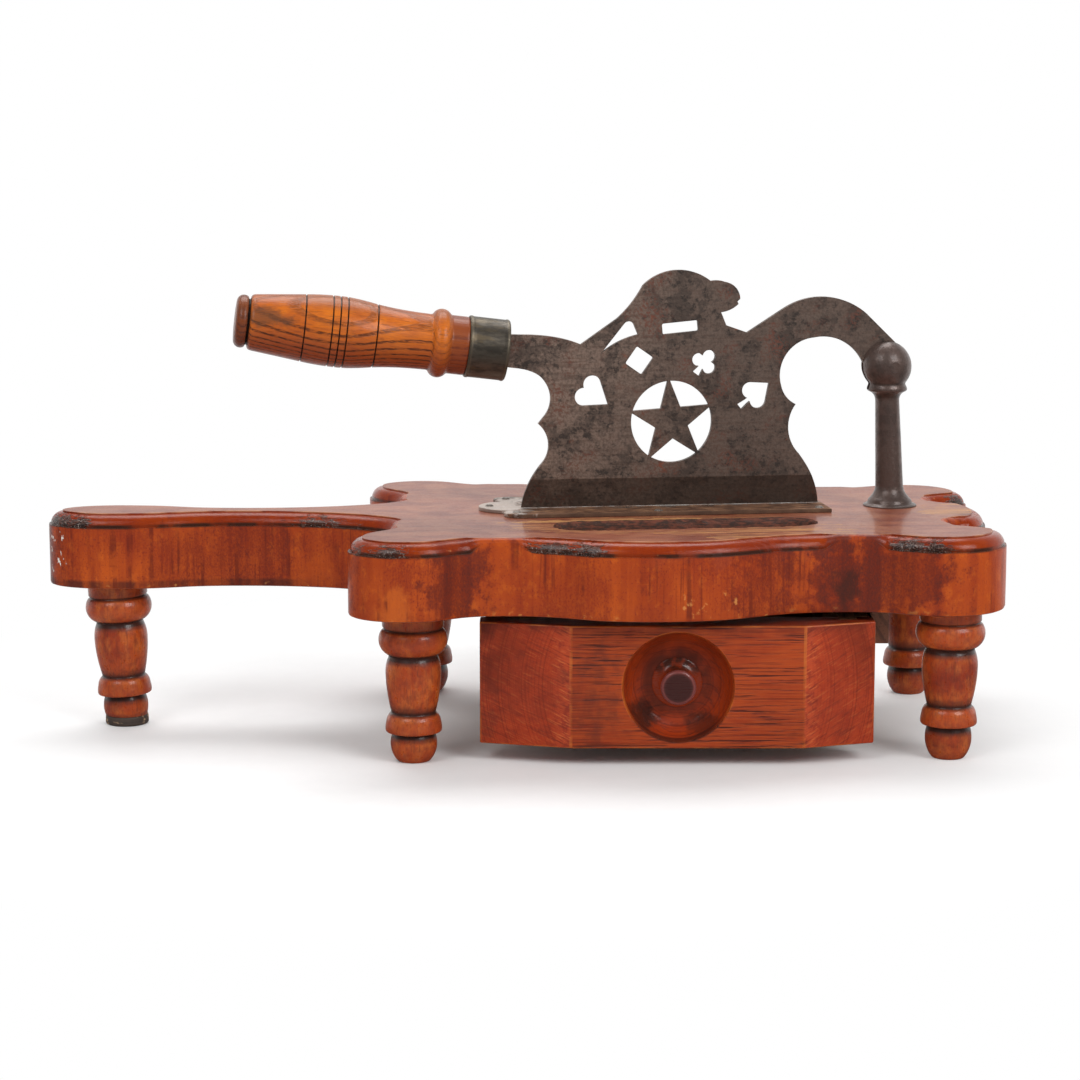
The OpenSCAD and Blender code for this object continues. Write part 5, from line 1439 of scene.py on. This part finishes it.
def on_handle(s, h):
    """A point s along the handle line and h above it."""
    c, n = math.cos(HANDLE_RISE), math.sin(HANDLE_RISE)
    return (HANDLE_ROOT[0] - s * c + h * n, HANDLE_ROOT[1] + s * n + h * c)


blade_loop = [
    TOE,
    *bow(HEEL, (-EDGE_IN - 1, EDGE_Y + 12), (-43.5, -41), 14),
    *arc((-43.5, -41), (-48.7, -27), (-45.3, -17.6), 14),
    *arc((-45.3, -17.6), (-49.4, -14.6), (-52.4, -8.6), 8),
    *arc((-52.4, -8.6), (-49.4, 7.0), (-37.0, 13.7), 20),
    *arc((-37.0, 13.7), (-22.6, 11.6), (-13.4, 2.2), 18),
    *bow((-13.4, 2.2), (-12, -0.6), ring((0, 0), EYE_R, 196, 196, 1)[0], 5),
    *ring((0, 0), EYE_R, 196, 406, 34),
    *arc((-11.9, 24.8), (-31, 32.7), (-52, 27.2), 22), (-52, 27.2), (-68.9, 16.4), (-78.9, 19.9),
    *arc((-81.4, 26.0), (-76.6, 27.4), (-73.2, 29.8), 9), (-73.2, 29.8), (-73.7, 31.0),
    *arc((-72.4, 32.2), (-74.1, 37.0), (-79.4, 40.1), 12),
    *bow((-79.4, 40.1), (-82.6, 41.3), (-86.4, 40.6), 6),
    *arc((-86.4, 40.6), (-102.7, 45.85), (-118.5, 38.8), 24),
    *arc((-118.5, 38.8), (-125, 29.2), (-130.5, 23.6), 10), (-130.5, 23.6), (-147.6, 11.7),
    *bow((-147.6, 11.7), (-160, 17), on_handle(-2, 7.6), 14),
    on_handle(0, 7.6), on_handle(2, 7.6), on_handle(2, 4.5), on_handle(72, 3),
    on_handle(72, -3), on_handle(2, -4.5), on_handle(2, -7.6), on_handle(0, -7.6),
    *bow(on_handle(-4, -7.6), (-168, 0.2), (-164.3, -5.7), 9),
    *arc((-164.3, -5.7), (-161.8, -13), (-164.2, -21), 11), (-164.2, -21),
    *arc((-167.6, -25.2), (-162.7, -34.8), (-166.5, -44.5), 14),
    *bow((-166.5, -44.5), (TOE[0] + 1.5, EDGE_Y + 11), TOE, 12),
]
print("points in the blade's outline:", len(blade_loop))

# %% Pierced shapes
CORNER_R = 0.8


def moved(loop, at, turn):
    """A loop turned by degrees and moved to its place."""
    c, n = math.cos(math.radians(turn)), math.sin(math.radians(turn))
    return [(at[0] + x * c - y * n, at[1] + x * n + y * c) for x, y in loop]


def lobed(r, half, tip, stem=None):
    """Two lobes whose flanks meet in a point below: a heart, or a spade upside down with its stem."""
    flank = math.degrees(math.acos(r / math.hypot(half, tip)) - math.atan2(half, tip)) - 90
    neck = 0.25 if stem is None else stem[0][0]
    stop = math.degrees(math.acos((half - neck) / r))
    right = ring((half, 0), r, flank, 180 - stop, 22)
    left = ring((-half, 0), r, stop, 180 - flank, 22)
    middle = [(0, r * math.sin(math.radians(stop)) - 0.2)] if stem is None else stem
    return [(0, -tip), *right, *middle, *left]


def rounded(wide, high):
    """A rectangle with round corners."""
    x, y = wide / 2 - CORNER_R, high / 2 - CORNER_R
    corners = ((x, y, 0), (-x, y, 90), (-x, -y, 180), (x, -y, 270))
    return [p for cx, cy, a in corners for p in ring((cx, cy), CORNER_R, a, a + 90, 5)]


STAR_R, STAR_IN, STAR_AT, STAR_TURN = 19.2, 8.0, (-104.6, -25), 94
star_point = STAR_R + 1.8
star_gaps = []
for i in range(5):
    a = STAR_TURN + 72 * i
    inner = ring((0, 0), STAR_IN, a + 36, a + 36, 1)[0]
    near, far = (ring((0, 0), star_point, a + turn, a + turn, 1)[0] for turn in (0, 72))
    crossings = []
    for tip in (near, far):
        d = Vector(tip) - Vector(inner)
        b, c = Vector(inner).dot(d), Vector(inner).length_squared - STAR_R**2
        k = (-b + math.sqrt(b * b - d.length_squared * c)) / d.length_squared
        crossings.append(Vector(inner) + d * k)
    start, end = (math.degrees(math.atan2(p.y, p.x)) for p in crossings)
    rim = ring((0, 0), STAR_R, start, start + (end - start) % 360, 18)
    star_gaps.append(moved([inner, *rim], STAR_AT, 0))

club_r, club_base = 3.0, 6.6
club = [
    *ring((3.1, -0.6), club_r, -128, 62, 18),
    *ring((0, 3.5), club_r, -28, 208, 22),
    *ring((-3.1, -0.6), club_r, 118, 308, 18),
    (-1.25, -3.0), (-1.9, -club_base), (1.9, -club_base), (1.25, -3.0),
]
spade_stem = [(1.1, 4.6), (1.6, 8.7), (-1.6, 8.7), (-1.1, 4.6)]
tear = [
    *arc((-127.4, 20.9), (-124.3, 22.1), (-122.4, 20), 8), (-122.4, 20),
    *arc((-120.7, 16), (-129.5, 13), (-138.1, 7.4), 10), (-138.1, 7.4),
]
piercings = [
    *star_gaps,
    moved(lobed(4.2, 3.5, 11.6), (-144.2, -9.9), 55),
    moved(rounded(9.6, 9.6), (-120, 3.9), -35),
    moved(club, (-89.1, 2.6), -37),
    moved(lobed(3.8, 3.0, 9.2, spade_stem), (-65.4, -13.1), 128),
    moved(rounded(17, 5), (-100.8, 19.2), 5.3),
    tear,
    ring((0, 0), PIN_R, 0, 350, 35),
]
print("pierced shapes:", len(piercings))

# %% Make the blade
BLADE_THICK, BLADE_SOFT, EDGE_LAND = 3.0, 0.18, 0.6
PIVOT_H = 66.8
PIVOT_PLACE = POST_PLACE @ Matrix.Translation((0, 0, BOARD_TOP + PIVOT_H))
mesh = sheet_mesh("blade", [blade_loop, *piercings], BLADE_THICK, BLADE_SOFT)
shaper = edit_of(mesh)
whole = shaper.verts[:] + shaper.edges[:] + shaper.faces[:]
bmesh.ops.bisect_plane(shaper, geom=whole, plane_co=(0, 0, bevel_line * MM), plane_no=(0, 0, 1))
for v in shaper.verts:
    below = (bevel_line - v.co.z / MM) / BEVEL_HIGH
    if below > 0:
        face = -BLADE_THICK / 2 + (BLADE_THICK - EDGE_LAND) * min(1.0, below)
        share = (v.co.y / MM + BLADE_THICK / 2) / BLADE_THICK
        v.co.y = (face + share * (BLADE_THICK / 2 - face)) * MM
mesh = smooth(write_back(shaper, mesh), 20)
steady(put_in_place(mesh, blade_finish, "cutter", "iron", "blade", place=in_metres(PIVOT_PLACE)))

# %% [markdown]
# ## Handle
# A ferrule, drawn from bronze tube with a lip at each end, keeps the wood from splitting where the tang
# goes in. The grip has a bead behind the ferrule, a waist for the fingers, a belly, and a button at the end
# behind a deep groove. The profile runs along the handle, so both are turned in the handle's own frame.

# %% Ferrule
HANDLE_PLACE = (
    PIVOT_PLACE
    @ Matrix.Translation((HANDLE_ROOT[0], 0, HANDLE_ROOT[1]))
    @ Matrix.Rotation(HANDLE_RISE - math.pi / 2, 4, "Y")
)
FERRULE_LEN, FERRULE_R, FERRULE_WALL = 18.7, 14.4, 1.5
inner_r, tube_r = FERRULE_R - FERRULE_WALL, FERRULE_R - 0.25
ferrule_line = [
    (inner_r, 0.5), (inner_r + 0.3, 0.1),
    (FERRULE_R - 0.6, 0), (FERRULE_R - 0.1, 0.5), (FERRULE_R, 1.2), (tube_r, 2.0),
    *[(tube_r, 2.0 + 14.6 * i / 12) for i in range(1, 12)],
    (tube_r, 16.8), (FERRULE_R, 17.3), (FERRULE_R, 18.2), (FERRULE_R - 0.4, FERRULE_LEN),
    (inner_r + 0.2, FERRULE_LEN), (inner_r, FERRULE_LEN - 0.4),
]
ferrule_depths = [0.6, 0.3, -0.6, -0.9, -0.8, 0.3, *[0.0] * 11, 0.3, -0.7, -0.9, -0.7, 0.2, 0.6]
mesh = turned_mesh("handle_ferrule", ferrule_line, 96, ferrule_depths, 0.004, 2.0, closed=True)
put_in_place(mesh, ferrule_finish, "cutter", "brass", "handle_ferrule", place=in_metres(HANDLE_PLACE))

# %% Grip
GRIP_START, GRIP_LEN, GRIP_R = 18.8, 107.5, 16.5
SOCKET_R, SOCKET_FROM = 12.6, 2.1
BURNT_LINES = (42.6, 56.6, 60.0, 63.4, 75.8)
BURNT_DEEP, BURNT_HALF, BURNT_FLOOR = 0.45, 0.4, 0.17
grip_end = FERRULE_LEN + GRIP_LEN
button_at, belly_at = grip_end - 5.6, GRIP_START + 59
grip_line = [
    (13.3, GRIP_START), (13.6, GRIP_START + 0.4), (13.6, GRIP_START + 8),
    *arc((13.6, GRIP_START + 8.4), (16.0, GRIP_START + 12.4), (13.9, GRIP_START + 16.6), 16),
    *bow((13.0, GRIP_START + 17), (12.9, GRIP_START + 30), (14.7, belly_at - 16), 18),
    *bow((14.7, belly_at - 16), (GRIP_R, belly_at - 6), (GRIP_R, belly_at), 12),
    *bow((GRIP_R, belly_at), (GRIP_R, belly_at + 8), (GRIP_R - 0.9, belly_at + 16), 12),
    *bow((GRIP_R - 0.9, belly_at + 16), (GRIP_R - 2.2, belly_at + 28), (13.0, button_at - 3.2), 16),
    *bow((13.0, button_at - 3.2), (12.8, button_at - 1.2), (11.4, button_at - 1.1), 6),
    (11.4, button_at - 1.1), (10.4, button_at - 1.0), (10.4, button_at - 0.2), (11.7, button_at),
    *arc((11.8, button_at + 0.3), (12.2, button_at + 2.6), (9.8, grip_end - 0.4), 10),
    (9.8, grip_end - 0.4), (6, grip_end - 0.1), (0, grip_end),
]
groove = ((-BURNT_HALF, 0), (-BURNT_FLOOR, BURNT_DEEP), (BURNT_FLOOR, BURNT_DEEP), (BURNT_HALF, 0))
grip_line = softened(grip_line, 0.6, 1)
for at in BURNT_LINES:
    middle = GRIP_START + at
    left = max(i for i, p in enumerate(grip_line) if p[1] < middle - BURNT_HALF)
    right = min(i for i, p in enumerate(grip_line) if p[1] > middle + BURNT_HALF)
    r = grip_line[left][0] + (grip_line[right][0] - grip_line[left][0]) / 2
    grip_line[left + 1 : right] = [(r - deep, middle + off) for off, deep in groove]
grip_depths = dips(grip_line)
for i, (r, h) in enumerate(grip_line):
    burnt = any(abs(h - GRIP_START - at) < 0.3 for at in BURNT_LINES)
    grip_depths[i] = 1.0 if burnt else min(0.25, grip_depths[i])
    if button_at - 1.15 < h < button_at:
        grip_depths[i] = 0.9
socket = [(0, SOCKET_FROM), (SOCKET_R, SOCKET_FROM), (SOCKET_R, GRIP_START - 0.1)]
mesh = turned_mesh("handle_grip", socket + grip_line, 80, [0.0] * 3 + grip_depths, 0.006, 7.0)
put_in_place(mesh, grip_finish, "cutter", "grip_wood", "handle_grip", place=in_metres(HANDLE_PLACE))

# %% [markdown]
# ## Post
# The post is turned iron: a flange on the board, a flared foot, a tapering shaft, a collar and a ball.
# The ball is sawn down the middle for the blade's eye, so the turned shape is cut with a thin block. The
# real post stands a little askew, which moving its points sideways by their height gives.

# %% Pivot post
BALL_R, FORK_GAP, FORK_REACH, HOLE_REACH = 11.9, 3.6, 30, 20
STUD_R, STUD_LOW = 4.5, -34
FLANGE_R, BELL_R, SHAFT_R, SHAFT_TOP_R, RIM_R = 13.0, 10.5, 6.6, 5.7, 9.6
LEAN_LOW, LEAN_HIGH = 1.4, 1.5
collar_low, collar_high = PIVOT_H - 12, PIVOT_H - 8.6
stud = [(0, STUD_LOW), (STUD_R, STUD_LOW), (STUD_R, 0)]
post_line = [
    (FLANGE_R - 0.3, 0), (FLANGE_R, 0.3), (FLANGE_R - 0.3, 0.8), (BELL_R + 0.5, 1.2),
    *arc((BELL_R, 1.5), (BELL_R + 0.1, 2.3), (BELL_R - 0.4, 3.2), 6),
    *bow((BELL_R - 0.4, 3.2), (SHAFT_R + 0.9, 5.6), (SHAFT_R + 0.1, 8.4), 12),
    (SHAFT_R, 9.4), (SHAFT_TOP_R, collar_low - 4.5),
    *bow(
        (SHAFT_TOP_R, collar_low - 3.8),
        (SHAFT_TOP_R + 0.4, collar_low - 0.8),
        (RIM_R - 0.6, collar_low),
        10,
    ),
    *arc((RIM_R - 0.1, collar_low + 0.3), (RIM_R, collar_low + 1.0), (RIM_R - 0.2, collar_low + 1.8), 6),
    (RIM_R - 0.9, collar_high),
    *[(BALL_R * math.cos(t), PIVOT_H + BALL_R * math.sin(t)) for t in map(math.radians, range(-44, 90, 3))],
    (0, PIVOT_H + BALL_R),
]
post_line = softened(post_line, 0.7, 1)
blank = turned_mesh("pivot_post", stud + post_line, 80, [0.0] * 3 + dips(post_line), 0.01, 11.0)
low = (-FORK_REACH, -FORK_GAP / 2, PIVOT_H - EYE_R - 1.6)
high = (FORK_REACH, FORK_GAP / 2, PIVOT_H + FORK_REACH)
fork = box_mesh(low, high)
hole_line = [(0, -HOLE_REACH), (PIN_R, -HOLE_REACH), (PIN_R, HOLE_REACH), (0, HOLE_REACH)]
hole = turned_mesh("pin_hole", hole_line, 36)
hole.transform(in_metres(Matrix.Translation((0, 0, PIVOT_H))) @ Matrix.Rotation(math.pi / 2, 4, "X"))
for v in blank.vertices:
    v.co.x += (LEAN_LOW - (LEAN_LOW + LEAN_HIGH) * max(0.0, v.co.z / MM / PIVOT_H)) * MM
mesh = smooth(cut(blank, fork, hole))
post_place = in_metres(POST_PLACE @ Matrix.Translation((0, 0, BOARD_TOP)))
put_in_place(mesh, post_finish, "base", "iron", "pivot_post", place=post_place)

# %% [markdown]
# ## Drawer front and knob
# The front is one thick board whose ends are planed back to two slanting facets. A round dish is turned
# into the flat middle and a small knob stands in it. The block gets its soft edges first, then the dish
# and the housings for the drawer sides are cut from it. Marks on the rounded edges let the varnish wear.

# %% Drawer front
DRAWER_LOW, DRAWER_HIGH = 8.3, 63.9
FRONT_LEFT, FRONT_RIGHT, FLAT_LEFT, FLAT_RIGHT = -16.2, 160.8, 24.5, 128.5
FRONT_BACK_Y, CORNER_Y, FRONT_SOFT = -66.0, -78.0, 0.7
DISH_DEEP, DISH_FLAT_R = 12.0, 12
section = [
    (FRONT_LEFT, FRONT_BACK_Y), (FRONT_LEFT, CORNER_Y), (FLAT_LEFT, FACE_Y),
    (FLAT_RIGHT, FACE_Y), (FRONT_RIGHT, CORNER_Y), (FRONT_RIGHT, FRONT_BACK_Y),
]
shaper = bmesh.new()
low = [shaper.verts.new((x * MM, y * MM, DRAWER_LOW * MM)) for x, y in section]
high = [shaper.verts.new((x * MM, y * MM, DRAWER_HIGH * MM)) for x, y in section]
shaper.faces.new(reversed(low))
shaper.faces.new(high)
for i in range(len(section)):
    k = (i + 1) % len(section)
    shaper.faces.new((low[i], low[k], high[k], high[i]))
bmesh.ops.recalc_face_normals(shaper, faces=shaper.faces)
soft = bmesh.ops.bevel(
    shaper, geom=shaper.edges[:], offset=FRONT_SOFT * MM, segments=3, profile=0.5, affect="EDGES"
)
edge_mark = shaper.loops.layers.float.new("edge")
for face in soft["faces"]:
    for corner in face.loops:
        corner[edge_mark] = 1.0
front_block = write_back(shaper, bpy.data.meshes.new("drawer_front"))
print("front block:", len(front_block.polygons), "faces")

# %% Cut the drawer front
BOX_X, BOX_HALF, SIDE_THICK, SLACK = 77.15, 76.0, 8.0, 0.1
HOUSING_Y, HOUSING_LOW = -73.1, 11.9
GROOVE_Y, GROOVE_HALF, GROOVE_LOW, GROOVE_HIGH = -71, 69, 15.9, 21.1
CLEAR_Y, CLEAR_HIGH = -60, 70
dish_line = [
    (0, -1), (DISH_R + 1.0, -1), (DISH_R + 0.45, 0), (DISH_R, 0.5),
    *bow((DISH_R - 0.1, 0.9), (DISH_R - 2.2, DISH_DEEP), (DISH_FLAT_R, DISH_DEEP), 24),
    (DISH_FLAT_R, DISH_DEEP), (8, DISH_DEEP), (0, DISH_DEEP),
]
dish = turned_mesh("dish", dish_line, 96)
dish_place = Matrix.Translation((DISH_X, FACE_Y, DISH_Z)) @ Matrix.Rotation(-math.pi / 2, 4, "X")
dish.transform(in_metres(dish_place))
housings = []
for side in (-BOX_HALF, BOX_HALF - SIDE_THICK):
    near, far = BOX_X + side - SLACK, BOX_X + side + SIDE_THICK + SLACK
    housings.append(box_mesh((near, HOUSING_Y, HOUSING_LOW), (far, CLEAR_Y, CLEAR_HIGH)))
low = (BOX_X - GROOVE_HALF, GROOVE_Y, GROOVE_LOW)
high = (BOX_X + GROOVE_HALF, CLEAR_Y, GROOVE_HIGH)
groove = box_mesh(low, high)
mesh = smooth(cut(front_block, dish, *housings, groove), 30)
steady(put_in_place(mesh, drawer_finish, "drawer", "varnished_wood", "drawer_front"))

# %% Drawer knob
KNOB_R, KNOB_H, KNOB_NECK, KNOB_FOOT_R = 7.9, 13.5, 5.6, 11.4
SPIGOT_R, SPIGOT_LEN = 4, 7
knob_line = [
    (0, -SPIGOT_LEN), (SPIGOT_R, -SPIGOT_LEN), (SPIGOT_R, 0), (KNOB_FOOT_R, 0), (KNOB_FOOT_R, 0.3),
    *bow((11.2, 0.5), (KNOB_NECK, 1.2), (KNOB_NECK, KNOB_H * 0.52), 14),
    *bow((KNOB_NECK, KNOB_H * 0.52), (KNOB_NECK + 0.4, KNOB_H - 3.6), (KNOB_R - 0.3, KNOB_H - 2.6), 10),
    *arc((KNOB_R - 0.2, KNOB_H - 2.5), (KNOB_R, KNOB_H - 1.3), (KNOB_R - 0.7, KNOB_H - 0.3), 10),
    (KNOB_R - 0.7, KNOB_H - 0.3), (KNOB_R - 1.6, KNOB_H - 0.02), (KNOB_R - 4, KNOB_H), (0, KNOB_H - 0.1),
]
mesh = turned_mesh("drawer_knob", knob_line, 72, None, 0.006, 4.0)
knob_place = Matrix.Translation((DISH_X, FACE_Y + DISH_DEEP, DISH_Z)) @ Matrix.Rotation(math.pi / 2, 4, "X")
put_in_place(mesh, knob_finish, "drawer", "dark_wood", "drawer_knob", place=in_metres(knob_place))

# %% [markdown]
# ## Pieces that keep their construction mesh
# The drawer box, the runners and the fasteners have plain worked shapes that the construction model already
# gives. They stay as they are and only get a finish: bare wood for the box, dull iron for what holds it.

# %% Dress the remaining nodes
KEPT = {
    box_finish: ["drawer_side_left", "drawer_side_right", "drawer_cleat_left", "drawer_cleat_right"],
    back_finish: ["drawer_back", "drawer_bottom"],
    runner_finish: ["runner_left", "runner_right"],
    post_finish: ["pivot_pin"],
    fastener_finish: ["plate_nails", "post_washer", "post_nut", "runner_screws", "drawer_nails"],
}
for finish, names in KEPT.items():
    for name in names:
        nodes[name].data.materials.clear()
        nodes[name].data.materials.append(finish)
        smooth(nodes[name].data, 30)
print("kept:", sum(len(names) for names in KEPT.values()))

# %% [markdown]
# ## Size
# The dressed cutter has to fill the same box as the construction model, so both boxes are measured and
# their largest difference is printed.

# %% Compare the boxes
low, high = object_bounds()
differences = [abs(a - b) / MM for a, b in zip((*cad_low, *cad_high), (*low, *high))]
print("largest difference:", round(max(differences), 2), "mm")
